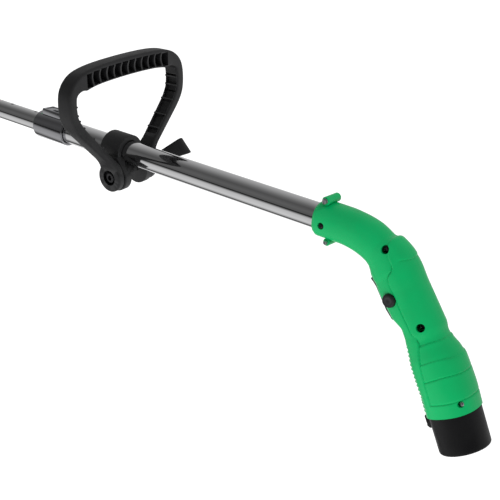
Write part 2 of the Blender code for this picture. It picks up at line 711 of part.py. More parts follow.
def wing_nut(bail):
    """A hub and two wings that sweep out and away from the bail and thicken towards their tips."""
    low = FOOT_OUT + 1.5 + GAP
    hub_side = ((0, 0.0), (8.5, 0.0), (8.5, 4.0), (7.2, 15.0), (5.0, 17.5), (0, 17.5))
    wing_side = ((2.0, 4.0), (7.5, 6.0), (17.5, 15.0), (30.0, 26.0), (33.0, 31.0), (31.0, 36.0), (24.5, 36.5),
                 (12.0, 26.0), (4.5, 16.5), (2.0, 14.0))
    hub = turned([(radius, low + x) for radius, x in hub_side], 24, "X")
    for turn in (WING_ANGLE, WING_ANGLE + 180.0):
        bm = bmesh.new()
        flat = [bm.verts.new((low + x, r, -4.4)) for r, x in wing_side]
        flared = [bm.verts.new((low + x, r, 3.0 + 0.2 * r)) for r, x in wing_side]
        faces = [flat, flared]
        ring_faces(bm, *faces)
        for face in faces:
            bm.faces.new(face)
        bmesh.ops.rotate(bm, matrix=Matrix.Rotation(math.radians(turn), 3, "X"), verts=bm.verts)
        union(hub, mesh_object(bm))
    cut(hub, rod(BOLT_R + GAP, low - 5, BOLT_END + GAP, 20, "X"))
    node(hub, "wing_nut", "black_plastic", bail)


# ---------------------------------------------------------------- head

ROTOR = (0.0, ROTOR_Z)
MOTOR = (BELT_DRIVE * math.cos(math.radians(MOTOR_ANGLE)),
         ROTOR_Z + BELT_DRIVE * math.sin(math.radians(MOTOR_ANGLE)))
PULLEY_R = 32.0
MOTOR_PULLEY_R = PULLEY_R / 3.0
PLATE_OUT = SCOOP_HALF + SCOOP_WALL
COVER_OUT = -166.0
SHAFT_R = 6.0
COVER_SCREWS = ((36.0, 62.0), (-38.0, 62.0), (-62.0, 186.0))
SCRAPER_SCREWS = {"left": -112.0, "middle": 0.0, "right": 112.0}


def scoop_housing():
    """The round back with its lip and hood, between two side plates that also carry the belt case."""
    outer = SCOOP_R
    inner = SCOOP_R - SCOOP_WALL
    back = arc(ROTOR, outer, -90.0, -288.0, 28)
    front = arc(ROTOR, inner, -288.0, -90.0, 28)
    hood = [(72.0, 146.0), (71.2, 143.0)]
    lip = [(50.0, ROTOR_Z - inner), (54.0, ROTOR_Z - outer)]
    scoop = prism(back + hood + front + lip, -SCOOP_HALF - 1.5, SCOOP_HALF + 1.5)
    plate = [(-45.0, 0.0), (58.0, 0.0), (80.0, 22.0), (84.0, 110.0), (75.0, 150.0), (60.0, 158.0)]
    plate += arc(ROTOR, outer + 3.0, 72.0, 215.0, 22)
    for side in (-1, 1):
        union(scoop, prism(plate, *sorted((side * SCOOP_HALF, side * PLATE_OUT))))
    union(scoop, prism(belt_outline(ROTOR, 47.0, MOTOR, 28.0), -PLATE_OUT, -SCOOP_HALF))
    cut(scoop, cross_rod(13.3, -160, 160, ROTOR, 32))
    cut(scoop, cross_rod(5.0, -160, -100, MOTOR, 20))
    for place in COVER_SCREWS:
        cut(scoop, cross_rod(1.8, -160, -130, place, 12))
    for x in SCRAPER_SCREWS.values():
        cut(scoop, rod(2.3, -5, 10, 12, "Z", (x, 32.0, 0.0)))
    node(scoop, "scoop_housing", "green_plastic")


def scraper():
    top = ROTOR_Z - SCOOP_R - GAP
    half = SCOOP_HALF - GAP
    blade = prism([(-12.0, 0.0), (66.0, 0.0), (66.0, 0.6), (60.0, top), (-12.0, top)], -half, half)
    for x in SCRAPER_SCREWS.values():
        cut(blade, rod(2.3, -5, 10, 12, "Z", (x, 32.0, 0.0)))
    node(blade, "scraper_blade", "steel")
    low = ROTOR_Z - SCOOP_R + SCOOP_WALL + GAP
    for side, x in SCRAPER_SCREWS.items():
        profile = [(0, 0.6), (2.0, 0.6), (2.0, low), (4.2, low), (3.6, low + 1.6), (0, low + 2.2)]
        node(turned(profile, 12, "Z", (x, 32.0, 0.0)), f"scraper_screw_{side}", "steel")


def paddle(turn):
    """One rotor paddle: a curved blade drawn along the shaft with a shallow chevron."""
    rings = []
    for x in (-132.0, -66.0, 0.0, 66.0, 132.0):
        twist = turn + 24.0 * (1.0 - abs(x) / 132.0)
        ring = []
        for thick in (-2.4, 2.4):
            radii = (8.0, 26.0, 44.0, 60.0, ROTOR_R)
            for radius in radii if thick < 0 else reversed(radii):
                angle = math.radians(twist + 0.009 * radius * radius) + thick / radius
                ring.append(Vector((x, radius * math.cos(angle), ROTOR_Z + radius * math.sin(angle))))
        rings.append(ring)
    return loft(rings)


def rotor():
    shaft_ends = (-160.0, 146.0)
    shaft = cross_rod(SHAFT_R, *shaft_ends, ROTOR, 24)
    node(shaft, "impeller_shaft", "steel", None, (0.0, *ROTOR))
    hub = cross_rod(15.0, -133.0, 133.0, ROTOR, 24)
    union(hub, paddle(20.0), paddle(200.0))
    cut(hub, cross_rod(SHAFT_R + GAP, -150, 150, ROTOR, 24))
    node(hub, "impeller", "rotor_plastic", None, (0.0, *ROTOR))
    bearings = []
    for side in (-1, 1):
        ends = sorted((side * 135.5, side * 143.0))
        bearings.append(pipe(13.0, SHAFT_R + GAP, *ends, 28, "X", (0.0, *ROTOR)))
    node(bearings[0], "bearing_left", "steel")
    node(bearings[1], "bearing_right", "steel")
    seat = PLATE_OUT + GAP
    cap = [(0, 151.0), (12.0, 151.0), (17.0, 149.0), (17.5, seat), (11.0, seat), (11.0, 147.5), (0, 147.5)]
    node(turned(cap, 32, "X", (0.0, *ROTOR)), "bearing_cap", "black_plastic")


def pulley(radius, flange, bore, centre):
    profile = [(bore, BELT_X - 6.0), (flange, BELT_X - 6.0), (flange, BELT_X - 4.6), (radius, BELT_X - 4.5),
               (radius, BELT_X + 4.5), (flange, BELT_X + 4.6), (flange, BELT_X + 6.0), (bore, BELT_X + 6.0)]
    return turned(profile, 24, "X", (0.0, *centre), closed=True)


def belt_drive():
    node(pulley(PULLEY_R, PULLEY_R + 2.0, SHAFT_R + GAP, ROTOR), "impeller_pulley", "rotor_plastic", None,
         (0.0, *ROTOR))
    nut = cross_rod(9.5, -163.0, -158.5, ROTOR, 6)
    cut(nut, cross_rod(SHAFT_R + GAP, -170, -150, ROTOR, 16))
    node(nut, "pulley_nut", "steel", None, (0.0, *ROTOR))
    node(pulley(MOTOR_PULLEY_R, MOTOR_PULLEY_R + 1.8, 2.8, MOTOR), "motor_pulley", "steel", None, (0.0, *MOTOR))
    thick = 2.4
    run = GAP
    outside = belt_outline(ROTOR, PULLEY_R + run + thick, MOTOR, MOTOR_PULLEY_R + run + thick)
    inside = belt_outline(ROTOR, PULLEY_R + run, MOTOR, MOTOR_PULLEY_R + run)
    band = prism(outside, BELT_X - 4.0, BELT_X + 4.0)
    cut(band, prism(inside, BELT_X - 8.0, BELT_X + 8.0))
    node(band, "drive_belt", "belt_rubber")


def belt_cover():
    low = -PLATE_OUT - GAP
    shell = prism(belt_outline(ROTOR, 46.0, MOTOR, 27.0), COVER_OUT, low)
    cut(shell, prism(belt_outline(ROTOR, 43.6, MOTOR, 24.6), COVER_OUT + 2.0, low + 5.0))
    for i, place in enumerate(COVER_SCREWS):
        union(shell, cross_rod(4.2, COVER_OUT + 1.0, low, place, 14))
        cut(shell, cross_rod(1.8, COVER_OUT - 5, low + 5, place, 12))
        fastener = screw(place, COVER_OUT - GAP - 2.0, -SCOOP_HALF - GAP, 3.4, 1.4)
        node(fastener, f"belt_cover_screw_{i + 1}", "steel")
    node(shell, "belt_cover", "black_plastic")


def motor():
    profile = [(0, -60.0), (2.8, -60.0), (2.8, -108.0), (8.0, -108.0), (8.0, -102.0), (21.0, -101.0),
               (21.5, -99.0), (21.5, -34.0), (20.0, -32.0), (0, -32.0)]
    node(turned(profile, 36, "X", (0.0, *MOTOR)), "motor", "steel")
    node(cross_rod(2.5, -161.0, -61.0, MOTOR, 16), "motor_shaft", "steel", None, (0.0, *MOTOR))
    board = box((30.0, MOTOR[0] - 16.0, MOTOR[1] - 2.0), (86.0, MOTOR[0] + 16.0, MOTOR[1] - 0.4))
    for x, y in ((42.0, -6.0), (58.0, 6.0), (72.0, -4.0)):
        union(board, rod(5.0, MOTOR[1] - 1.0, MOTOR[1] + 12.0, 16, "Z", (x, MOTOR[0] + y, 0.0)))
    node(board, "control_board", "board")


def round_rotor(radius, turn):
    """A (y, z) point at a radius and an angle in degrees round the rotor's axis."""
    return (radius * math.cos(math.radians(turn)), ROTOR_Z + radius * math.sin(math.radians(turn)))


def motor_cover():
    """A hood over the motor, open below where it sits on the scoop."""
    out = SCOOP_HALF - GAP
    skin = [round_rotor(80.0, turn) for turn in (148.0, 74.0)]
    deep = [round_rotor(70.0, turn) for turn in (143.0, 79.0)]
    shell = prism([skin[1]] + arc(MOTOR, 29.0, 20.0, 190.0, 20) + [skin[0]], -out, out)
    cut(shell, prism([deep[1]] + arc(MOTOR, 26.4, 20.0, 190.0, 20) + [deep[0]], -out + 2.6, out - 2.6))
    cut(shell, cross_rod(SCOOP_R + GAP, -150, 150, ROTOR, 72))
    cut(shell, cross_rod(5.0, -150, -120, MOTOR, 20))
    for i in range(7):
        x = -99.0 + 9.0 * i
        cut(shell, box((x, MOTOR[0] - 40.0, MOTOR[1] + 6.0), (x + 4.5, MOTOR[0] - 4.0, MOTOR[1] + 40.0)))
    node(shell, "motor_cover", "green_plastic")


def tube_socket(tool):
    """The bracket that holds the inner tube on the back of the scoop, in the world frame."""
    tilt = math.radians(TUBE_TILT)
    along = Vector((0.0, -math.cos(tilt), math.sin(tilt)))
    side = Vector((0.0, math.sin(tilt), math.cos(tilt)))
    corner = [TUBE_END - along * 6.0 + side * 15.0, TUBE_END - along * 6.0 - side * 15.0]
    toe = [round_rotor(78.0, turn) for turn in (154.0, 206.0)]
    foot = prism([toe[0], (corner[0].y, corner[0].z), (corner[1].y, corner[1].z), toe[1]], -15.0, 15.0)
    barrel = rod(16.5, -6.0, 72.0, 36)
    turn = Vector((0, 0, 1)).rotation_difference(along).to_matrix().to_4x4()
    place = Matrix.Translation(TUBE_END * MM) @ turn
    barrel.data.transform(place)
    union(foot, barrel)
    bore = rod(INNER_R + GAP, -GAP, 90.0, 36)
    bore.data.transform(place)
    cut(foot, bore)
    cut(foot, cross_rod(SCOOP_R + GAP, -50, 50, ROTOR, 72))
    node(foot, "tube_socket", "black_plastic")


def build():
    clear_scene()
    tilt = math.radians(TUBE_TILT)
    mouth = TUBE_END + Vector((0.0, -math.cos(tilt), math.sin(tilt))) * TUBE_LENGTH
    tool = frame("tool", mouth, -TUBE_TILT)
    grip_origin, _ = spine(GRIP_START)
    grip = frame("grip", grip_origin, GRIP_BEND, tool)
    pack = frame("pack", spine_point(PACK_START, PACK_SIDE), PACK_BEND, tool)
    clamp = frame("clamp", (0.0, 0.0, 0.0), 0.0, tool)
    clamp.rotation_euler.y = math.radians(-CLAMP_ROLL)
    bail = frame("bail", (0.0, BOLT_Y, BOLT_Z), -BAIL_LEAN, clamp)

    node(handle_shell(-1), "handle_shell_left", "green_plastic", tool)
    node(handle_shell(1), "handle_shell_right", "green_plastic", tool)
    handle_screws(tool)
    trigger(grip)
    lock_off(grip)
    switch(grip)
    battery_case(pack)
    battery_inside(pack)
    terminal_block(pack)
    battery_latch(pack)
    tubes(tool)
    collar(tool)
    rocker(tool)
    bail_clamp(clamp)
    bail_loop(bail)
    cross_bolt(bail)
    wing_nut(bail)
    scoop_housing()
    scraper()
    rotor()
    belt_drive()
    belt_cover()
    motor()
    motor_cover()
    tube_socket(tool)


build()
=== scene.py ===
"""The looks of a cordless snow shovel: refined pieces, materials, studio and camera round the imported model.

Shapes are drawn in millimetres in local frames and moved to the world when their mesh is made. In each frame
x points to the user's right, y along the tube towards the head and z away from the tube's upper side.
"""
import json
import math

import bmesh
import bpy
import numpy as np
from mathutils import Matrix, Vector


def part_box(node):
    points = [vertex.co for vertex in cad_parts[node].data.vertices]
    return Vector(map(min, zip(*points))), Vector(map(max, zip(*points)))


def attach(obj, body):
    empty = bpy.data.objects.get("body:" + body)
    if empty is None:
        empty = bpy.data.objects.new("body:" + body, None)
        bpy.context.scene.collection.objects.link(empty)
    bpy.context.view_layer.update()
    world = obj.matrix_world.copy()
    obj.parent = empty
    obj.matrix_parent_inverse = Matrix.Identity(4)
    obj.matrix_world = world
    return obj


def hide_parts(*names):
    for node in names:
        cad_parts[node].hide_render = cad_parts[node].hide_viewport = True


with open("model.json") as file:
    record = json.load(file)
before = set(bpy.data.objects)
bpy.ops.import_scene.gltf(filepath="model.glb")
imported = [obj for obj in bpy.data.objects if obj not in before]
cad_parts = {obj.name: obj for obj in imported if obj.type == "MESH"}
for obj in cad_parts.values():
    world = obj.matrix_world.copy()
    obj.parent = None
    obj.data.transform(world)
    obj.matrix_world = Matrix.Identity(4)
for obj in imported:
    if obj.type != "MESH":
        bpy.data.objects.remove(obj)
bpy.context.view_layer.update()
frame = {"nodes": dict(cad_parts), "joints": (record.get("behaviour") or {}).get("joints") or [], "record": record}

MM = 0.001
JOINTS = {joint["name"]: joint for joint in frame["joints"]}

# Dimensions shared with the CAD source
TUBE_R = 12.5               # outer tube
INNER_R = 10.4              # inner tube
TUBE_IN_HANDLE = 24.5       # length of outer tube behind the handle's mouth
COLLAR = (336.5, 381.5)     # span of the lock collar along the tube
CLAMP = (245.5, 272.5)      # span of the bail's clamp along the tube
NECK_STRAIGHT = 26.5
NECK_BEND_R = 80.0
GRIP_BEND = 53.0
GRIP_STRAIGHT = 105.0
PACK_BEND_R = 60.0
PACK_BEND = 62.0
PACK_SIDE = -0.8            # the battery's axis lies this far in front of the spine
PACK_R = 24.3
BAIL_LEAN = 2.9             # degrees
BOLT_Y = 248.8              # the bail's cross bolt in the clamp's frame
BOLT_Z = -22.0
BOLT_R = 3.0
BOLT_END = 45.0
SHELL_END = 228.5           # length of the green shells along the handle's spine
WALL = 2.0
GAP = 0.3                   # gap between pieces that touch
NEAR_AXIS = 1e-4            # radius of a turned profile's ends, so that its mesh closes on the axis
# Handle sections: place on the spine, half depth to the back, half depth to the front, half width
SECTIONS = (
    (0.0, 15.6, 15.6, 15.6), (3.0, 17.3, 17.3, 17.3), (38.0, 17.0, 17.5, 17.3), (56.0, 18.0, 17.0, 17.5),
    (68.0, 17.2, 16.6, 17.8), (74.0, 20.6, 17.2, 18.5), (84.0, 22.0, 21.5, 19.5),
    (106.0, 22.4, 23.6, 20.5), (131.5, 22.6, 21.5, 20.5), (142.5, 22.6, 15.6, 20.5),
    (158.5, 22.6, 17.5, 21.0), (167.0, 22.8, 19.3, 22.4), (175.0, 25.8, 21.2, 24.2),
    (184.0, 27.2, 22.6, 24.6), (196.0, 26.2, 24.3, 24.8), (212.0, 24.2, 25.8, 25.0),
    (228.5, 23.4, 26.0, 25.0),
)
SECTION_POWER = 2.3         # 2 is an ellipse, more is squarer


# ------------ frames

def basis(x, y, z, origin):
    """A matrix from millimetres in a local frame to metres in the world."""
    turn = Matrix((x, y, z)).transposed().to_4x4()
    return Matrix.Translation(origin) @ turn @ Matrix.Scale(MM, 4)


def tube_frame():
    """The frame of the outer tube, with its origin at the handle's mouth."""
    along = Vector(JOINTS["tube_telescope"]["axis"]).normalized()
    side = Vector((1.0, 0.0, 0.0))
    up = side.cross(along)
    low, high = (Vector(corner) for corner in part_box("outer_tube"))
    reach = (high.y - low.y) / abs(along.y) - 2 * TUBE_R * MM
    mouth = (low + high) / 2 - along * (reach / 2 - TUBE_IN_HANDLE * MM)
    return basis(side, along, up, mouth)


def bail_frame():
    """The bail's own frame, on its cross bolt: the clamp's frame leaned forwards a little."""
    joint = JOINTS["loop_tilt"]
    side = Vector(joint["axis"]).normalized()
    along = Vector(JOINTS["tube_telescope"]["axis"]).normalized()
    lean = Matrix.Rotation(math.radians(-BAIL_LEAN), 3, side)
    along = lean @ along
    return basis(side, along, side.cross(along), Vector(joint["pos_m"]))


def clamp_frame():
    """The tube's frame rolled about it until its x runs along the bail's cross bolt."""
    side = Vector(JOINTS["loop_tilt"]["axis"]).normalized()
    along = Vector(JOINTS["tube_telescope"]["axis"]).normalized()
    return basis(side, along, side.cross(along), TOOL.translation)


TOOL = tube_frame()
BAIL = bail_frame()
CLAMP_FRAME = clamp_frame()


def spine(place):
    """Point (y, z) and downward angle of the handle's spine at a distance from its mouth."""
    neck = NECK_BEND_R * math.radians(GRIP_BEND)
    bend_two = PACK_BEND_R * math.radians(PACK_BEND - GRIP_BEND)
    y = z = angle = 0.0
    for length, radius in ((NECK_STRAIGHT, None), (neck, NECK_BEND_R), (GRIP_STRAIGHT, None),
                           (bend_two, PACK_BEND_R), (1e6, None)):
        step = min(place, length)
        if radius is None:
            y -= step * math.cos(angle)
            z -= step * math.sin(angle)
        else:
            turned_to = angle + step / radius
            y -= radius * (math.sin(turned_to) - math.sin(angle))
            z -= radius * (math.cos(angle) - math.cos(turned_to))
            angle = turned_to
        place -= step
        if place <= 0:
            break
    return y, z, angle


GRIP_START = NECK_STRAIGHT + NECK_BEND_R * math.radians(GRIP_BEND)
PACK_START = GRIP_START + GRIP_STRAIGHT + PACK_BEND_R * math.radians(PACK_BEND - GRIP_BEND)


def spine_frame(place, height=0.0):
    """A frame on the handle's spine, turned down with it."""
    y, z, angle = spine(place)
    turn = Matrix.Rotation(angle, 4, "X")
    return TOOL @ Matrix.Translation((0.0, y, z)) @ turn @ Matrix.Translation((0.0, 0.0, height))


PACK = spine_frame(PACK_START, PACK_SIDE)
PACK_Y = PACK_START - SHELL_END     # end of the shells, in the pack frame


# ------------ mesh helpers

def to_object(name, points, faces, matrix):
    """A mesh object from millimetre points of a local frame, with its place in its vertices."""
    mesh = bpy.data.meshes.new(name)
    mesh.from_pydata([matrix @ Vector(point) for point in points], [], faces)
    mesh.validate()
    made = bpy.data.objects.new(name, mesh)
    bpy.context.scene.collection.objects.link(made)
    repair = bmesh.new()
    repair.from_mesh(mesh)
    bmesh.ops.remove_doubles(repair, verts=repair.verts, dist=1e-7)
    bmesh.ops.recalc_face_normals(repair, faces=repair.faces)
    repair.to_mesh(mesh)
    repair.free()
    return made


def smooth(made, angle=35.0):
    """Shades an object smooth except at edges sharper than an angle in degrees."""
    for face in made.data.polygons:
        face.use_smooth = True
    made.data.set_sharp_from_angle(angle=math.radians(angle))
    return made


def finish_piece(made, look, body, slot, *nodes):
    """Gives a piece its material and its body, and hides the CAD nodes it stands for."""
    made.data.materials.clear()
    made.data.materials.append(look)
    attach(made, body)
    if nodes:
        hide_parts(*nodes)
    return made


def bake(made):
    """Applies an object's modifiers to its mesh."""
    graph = bpy.context.evaluated_depsgraph_get()
    mesh = bpy.data.meshes.new_from_object(made.evaluated_get(graph))
    made.modifiers.clear()
    made.data = mesh
    return made


def boolean(made, other, operation):
    """Joins or cuts with another object, which is used up."""
    change = made.modifiers.new("change", "BOOLEAN")
    change.operation = operation
    change.object = other
    change.solver = "EXACT"
    bake(made)
    bpy.data.objects.remove(other, do_unlink=True)
    return made


def bevel(made, width, segments=2, angle=32.0):
    """Rounds an object's sharp edges; width in millimetres."""
    edge = made.modifiers.new("bevel", "BEVEL")
    edge.width = width * MM
    edge.segments = segments
    edge.limit_method = "ANGLE"
    edge.angle_limit = math.radians(angle)
    edge.harden_normals = True
    edge.use_clamp_overlap = True
    return made


def merge(parts):
    """One list of points and faces out of several."""
    points = []
    faces = []
    for part_points, part_faces in parts:
        start = len(points)
        points += part_points
        faces += [[i + start for i in face] for face in part_faces]
    return points, faces


def tube_shape(rings, closed=False):
    """Points and faces of rings of equal count joined in order, with flat ends or closed on itself."""
    count = len(rings[0])
    points = [point for ring in rings for point in ring]
    faces = []
    spans = len(rings) if closed else len(rings) - 1
    for k in range(spans):
        a = k * count
        b = (k + 1) % len(rings) * count
        faces += [[a + i, a + (i + 1) % count, b + (i + 1) % count, b + i] for i in range(count)]
    if not closed:
        faces.append(list(range(count))[::-1])
        faces.append(list(range(len(points) - count, len(points))))
    return points, faces


def oriented(axis, along, across, up):
    """A point from its coordinate along an axis and the two across it, in cyclic order."""
    if axis == "X":
        return (along, across, up)
    if axis == "Y":
        return (up, along, across)
    return (across, up, along)


def turned(profile, axis="Y", centre=(0.0, 0.0, 0.0), segments=96, closed=True):
    """A profile of (radius, place) turned round an axis; an open profile starts and ends on the axis."""
    rings = []
    for k in range(segments):
        turn = 2 * math.pi * k / segments
        ring = []
        for radius, place in profile:
            point = oriented(axis, place, radius * math.cos(turn), radius * math.sin(turn))
            ring.append(tuple(a + b for a, b in zip(point, centre)))
        rings.append(ring)
    count = len(profile)
    points = [point for ring in rings for point in ring]
    faces = []
    for k in range(segments):
        a = k * count
        b = (k + 1) % segments * count
        for i in range(count if closed else count - 1):
            j = (i + 1) % count
            faces.append([a + i, a + j, b + j, b + i])
    return points, faces


def rod(radius, low, high, axis="X", centre=(0.0, 0.0, 0.0), segments=32):
    outline = [(NEAR_AXIS, low), (radius, low), (radius, high), (NEAR_AXIS, high)]
    return turned(outline, axis, centre, segments)


def block(low, high):
    (x0, y0, z0), (x1, y1, z1) = low, high
    points = [(x, y, z) for x in (x0, x1) for y in (y0, y1) for z in (z0, z1)]
    faces = [[0, 1, 3, 2], [4, 6, 7, 5], [0, 4, 5, 1], [2, 3, 7, 6], [0, 2, 6, 4], [1, 5, 7, 3]]
    return points, faces


def moved(shape, matrix):
    """A shape's points and faces after a move within its frame."""
    points, faces = shape
    return [tuple(matrix @ Vector(point)) for point in points], faces


def cut(made, shapes, matrix):
    """Cuts shapes that don't touch one another out of an object."""
    return boolean(made, to_object("cutter", *merge(shapes), matrix), "DIFFERENCE")


def join(made, shape, matrix):
    return boolean(made, to_object("addition", *shape, matrix), "UNION")


def arc(centre, radius, start, end, count):
    """Points on an arc, in degrees."""
    turns = [math.radians(start + (end - start) * i / count) for i in range(count + 1)]
    return [(centre[0] + radius * math.cos(t), centre[1] + radius * math.sin(t)) for t in turns]


def rounded(profile, radius, count=4):
    """A closed (radius, place) outline with its corners rounded off."""
    result = []
    size = len(profile)
    for i, corner in enumerate(profile):
        here = Vector(corner)
        before = Vector(profile[i - 1]) - here
        after = Vector(profile[(i + 1) % size]) - here
        reach = min(radius, before.length * 0.45, after.length * 0.45)
        start = here + before.normalized() * reach
        end = here + after.normalized() * reach
        for k in range(count + 1):
            t = k / count
            point = start * (1 - t) ** 2 + here * 2 * t * (1 - t) + end * t * t
            result.append(tuple(point))
    return result


def disc(radius, low, high, edge, axis="X", centre=(0.0, 0.0, 0.0), segments=64):
    """A round plate or boss along an axis, with both rims rounded."""
    turns = [math.radians(t) for t in (0.0, 22.5, 45.0, 67.5, 90.0)]
    rim = [(math.sin(t), 1.0 - math.cos(t)) for t in turns]
    first = [(radius - edge + edge * out, low + edge * up) for out, up in rim]
    second = [(radius - edge + edge * out, high - edge * up) for out, up in reversed(rim)]
    outline = [(NEAR_AXIS, low)] + first + second + [(NEAR_AXIS, high)]
    return turned(outline, axis, centre, segments)


def prism(outline, low, high):
    """A (y, z) outline drawn out along x."""
    return tube_shape([[(x, y, z) for y, z in outline] for x in (low, high)])


def softened(outline, rounds=2):
    """A closed outline with its corners cut again and again until they are round."""
    for _ in range(rounds):
        result = []
        for here, there in zip(outline, outline[1:] + outline[:1]):
            for share in (0.25, 0.75):
                result.append(tuple(a + (b - a) * share for a, b in zip(here, there)))
        outline = result
    return outline


def through(points, steps):
    """A smooth open curve through points, as (point, heading) pairs."""
    ends = [points[0] * 2 - points[1]] + points + [points[-1] * 2 - points[-2]]
    curve = []
    for a, b, c, d in zip(ends, ends[1:], ends[2:], ends[3:]):
        squared = 2 * a - 5 * b + 4 * c - d
        cubed = 3 * b - a - 3 * c + d
        for k in range(steps):
            t = k / steps
            place = 0.5 * (2 * b + (c - a) * t + squared * t ** 2 + cubed * t ** 3)
            heading = (c - a) + 2 * squared * t + 3 * cubed * t * t
            curve.append((place, heading.normalized()))
    curve.append((points[-1], (points[-1] - points[-2]).normalized()))
    return curve


# ------------ materials

class Nodes:
    """Short names for building a material's nodes."""

    def __init__(self, name):
        self.material = bpy.data.materials.new(name)
        self.material.use_nodes = True
        self.tree = self.material.node_tree
        self.shader = self.tree.nodes["Principled BSDF"]
        self.place = self.add("ShaderNodeTexCoord").outputs["Object"]

    def add(self, kind, **values):
        made = self.tree.nodes.new(kind)
        for key, value in values.items():
            setattr(made, key, value)
        return made

    def link(self, source, target):
        self.tree.links.new(source, target)

    def noise(self, scale, detail=3.0, stretch=None):
        """Noise with features of about 1 / scale metres, which may be stretched along the axes."""
        texture = self.add("ShaderNodeTexNoise")
        texture.inputs["Scale"].default_value = scale
        texture.inputs["Detail"].default_value = detail
        place = self.place
        if stretch:
            mapping = self.add("ShaderNodeMapping")
            mapping.inputs["Scale"].default_value = stretch
            self.link(place, mapping.inputs["Vector"])
            place = mapping.outputs["Vector"]
        self.link(place, texture.inputs["Vector"])
        return texture.outputs["Fac"]

    def ramp(self, value, low, high, start=0.3, end=0.7):
        """Maps a value between start and end to a value or colour between low and high."""
        mapped = self.add("ShaderNodeMapRange")
        mapped.inputs["From Min"].default_value = start
        mapped.inputs["From Max"].default_value = end
        self.link(value, mapped.inputs["Value"])
        if isinstance(low, tuple):
            mix = self.add("ShaderNodeMix", data_type="RGBA")
            mix.inputs["A"].default_value = (*low, 1.0)
            mix.inputs["B"].default_value = (*high, 1.0)
            self.link(mapped.outputs["Result"], mix.inputs["Factor"])
            return mix.outputs["Result"]
        mapped.inputs["To Min"].default_value = low
        mapped.inputs["To Max"].default_value = high
        return mapped.outputs["Result"]

    def tint(self, colour, value, over, start=0.3, end=0.7):
        """Lays a second colour over a colour where value is high."""
        mapped = self.ramp(value, 0.0, 1.0, start, end)
        mix = self.add("ShaderNodeMix", data_type="RGBA")
        self.link(mapped, mix.inputs["Factor"])
        self.link(colour, mix.inputs["A"])
        mix.inputs["B"].default_value = (*over, 1.0)
        return mix.outputs["Result"]

    def bump(self, height, distance, below=None):
        made = self.add("ShaderNodeBump")
        made.inputs["Distance"].default_value = distance * MM
        self.link(height, made.inputs["Height"])
        if below:
            self.link(below, made.inputs["Normal"])
        return made.outputs["Normal"]

    def set(self, **values):
        """Links or sets inputs of the shader, with underscores for spaces."""
        for key, value in values.items():
            socket = self.shader.inputs[key.replace("_", " ")]
            if hasattr(value, "is_linked"):
                self.link(value, socket)
            else:
                socket.default_value = value
        return self.material


def edge_wear(nodes):
    """High on sharp outer edges."""
    return nodes.add("ShaderNodeNewGeometry").outputs["Pointiness"]


def moulded(name, dark, light, roughness, grain=2200.0, depth=0.02, coat=0.0, specular=0.5,
            worn=True):
    """Moulded plastic: cloudy pigment, a fine spark-eroded grain, handling marks and lighter worn edges."""
    nodes = Nodes(name)
    colour = nodes.ramp(nodes.noise(28.0, 4.0), dark, light)
    if worn:
        rubbed = tuple(min(1.0, c * 1.35 + 0.006) for c in light)
        colour = nodes.tint(colour, edge_wear(nodes), rubbed, 0.52, 0.6)
    polish = nodes.ramp(nodes.noise(60.0, 5.0), roughness - 0.05, roughness + 0.07)
    fine = nodes.bump(nodes.noise(grain, 2.0), depth)
    wavy = nodes.bump(nodes.noise(90.0, 2.0), depth * 1.5, fine)
    return nodes.set(Base_Color=colour, Roughness=polish, Normal=wavy, Coat_Weight=coat,
                     Coat_Roughness=0.25, Specular_IOR_Level=specular)


def plated(name, bright, roughness, scratch=0.004, haze=0.05):
    """Plated or polished metal: drawn-line scratches along the tube, smudges and a slight orange peel."""
    nodes = Nodes(name)
    stain = nodes.noise(22.0, 6.0)
    colour = nodes.ramp(stain, tuple(c * 0.93 for c in bright), bright)
    lines = nodes.noise(900.0, 2.0, (1.0, 0.03, 0.03))
    polish = nodes.ramp(nodes.noise(45.0, 6.0), roughness, roughness + haze)
    marks = nodes.bump(lines, scratch)
    return nodes.set(Base_Color=colour, Metallic=1.0, Roughness=polish, Normal=marks)


def brushed(name, bright, roughness, stretch=(0.02, 1.0, 1.0), rust=None):
    """Brushed or zinc-plated steel, with patchy dullness and perhaps a little rust."""
    nodes = Nodes(name)
    colour = nodes.ramp(nodes.noise(70.0, 5.0), tuple(c * 0.8 for c in bright), bright)
    if rust:
        colour = nodes.tint(colour, nodes.noise(140.0, 6.0), rust, 0.66, 0.8)
    lines = nodes.noise(1400.0, 2.0, stretch)
    polish = nodes.ramp(lines, roughness - 0.06, roughness + 0.12)
    return nodes.set(Base_Color=colour, Metallic=1.0, Roughness=polish, Normal=nodes.bump(lines, 0.02))


GREEN = moulded("green_plastic_look", (0.0, 0.33, 0.094), (0.0, 0.362, 0.106), 0.34, depth=0.01,
                specular=0.24, worn=False)
BLACK = moulded("black_plastic_look", (0.008, 0.008, 0.009), (0.014, 0.014, 0.015), 0.5)
SATIN_BLACK = moulded("battery_plastic_look", (0.004, 0.004, 0.0045), (0.007, 0.007, 0.0075), 0.42,
                      1600.0, 0.03, specular=0.22)
ROTOR_LOOK = moulded("rotor_plastic_look", (0.012, 0.012, 0.013), (0.024, 0.024, 0.026), 0.62,
                     900.0, 0.06)
RUBBER = moulded("belt_rubber_look", (0.01, 0.01, 0.01), (0.02, 0.02, 0.02), 0.8, 1500.0, 0.05)
SLEEVE = moulded("cell_sleeve_look", (0.02, 0.09, 0.35), (0.03, 0.12, 0.42), 0.3, 500.0, 0.01, 0.4)
BOARD = moulded("board_look", (0.01, 0.12, 0.04), (0.02, 0.2, 0.07), 0.35, 700.0, 0.05, 0.3)
CHROME = plated("chrome_look", (0.86, 0.86, 0.87), 0.035)
# The same chrome with its colour darkened: painted shade, standing in for the darker reflections on the lock
# collar.
CHROME_PAINTED_SHADE = plated("chrome_painted_shade_look", (0.46, 0.46, 0.48), 0.09)
STEEL = brushed("steel_look", (0.56, 0.56, 0.58), 0.34)
# Steel coloured almost black: painted shade of the wells and the recess that the screw heads and the cross bolt's
# head sit in.
STEEL_IN_PAINTED_SHADE = brushed("steel_painted_shade_look", (0.07, 0.07, 0.074), 0.3)
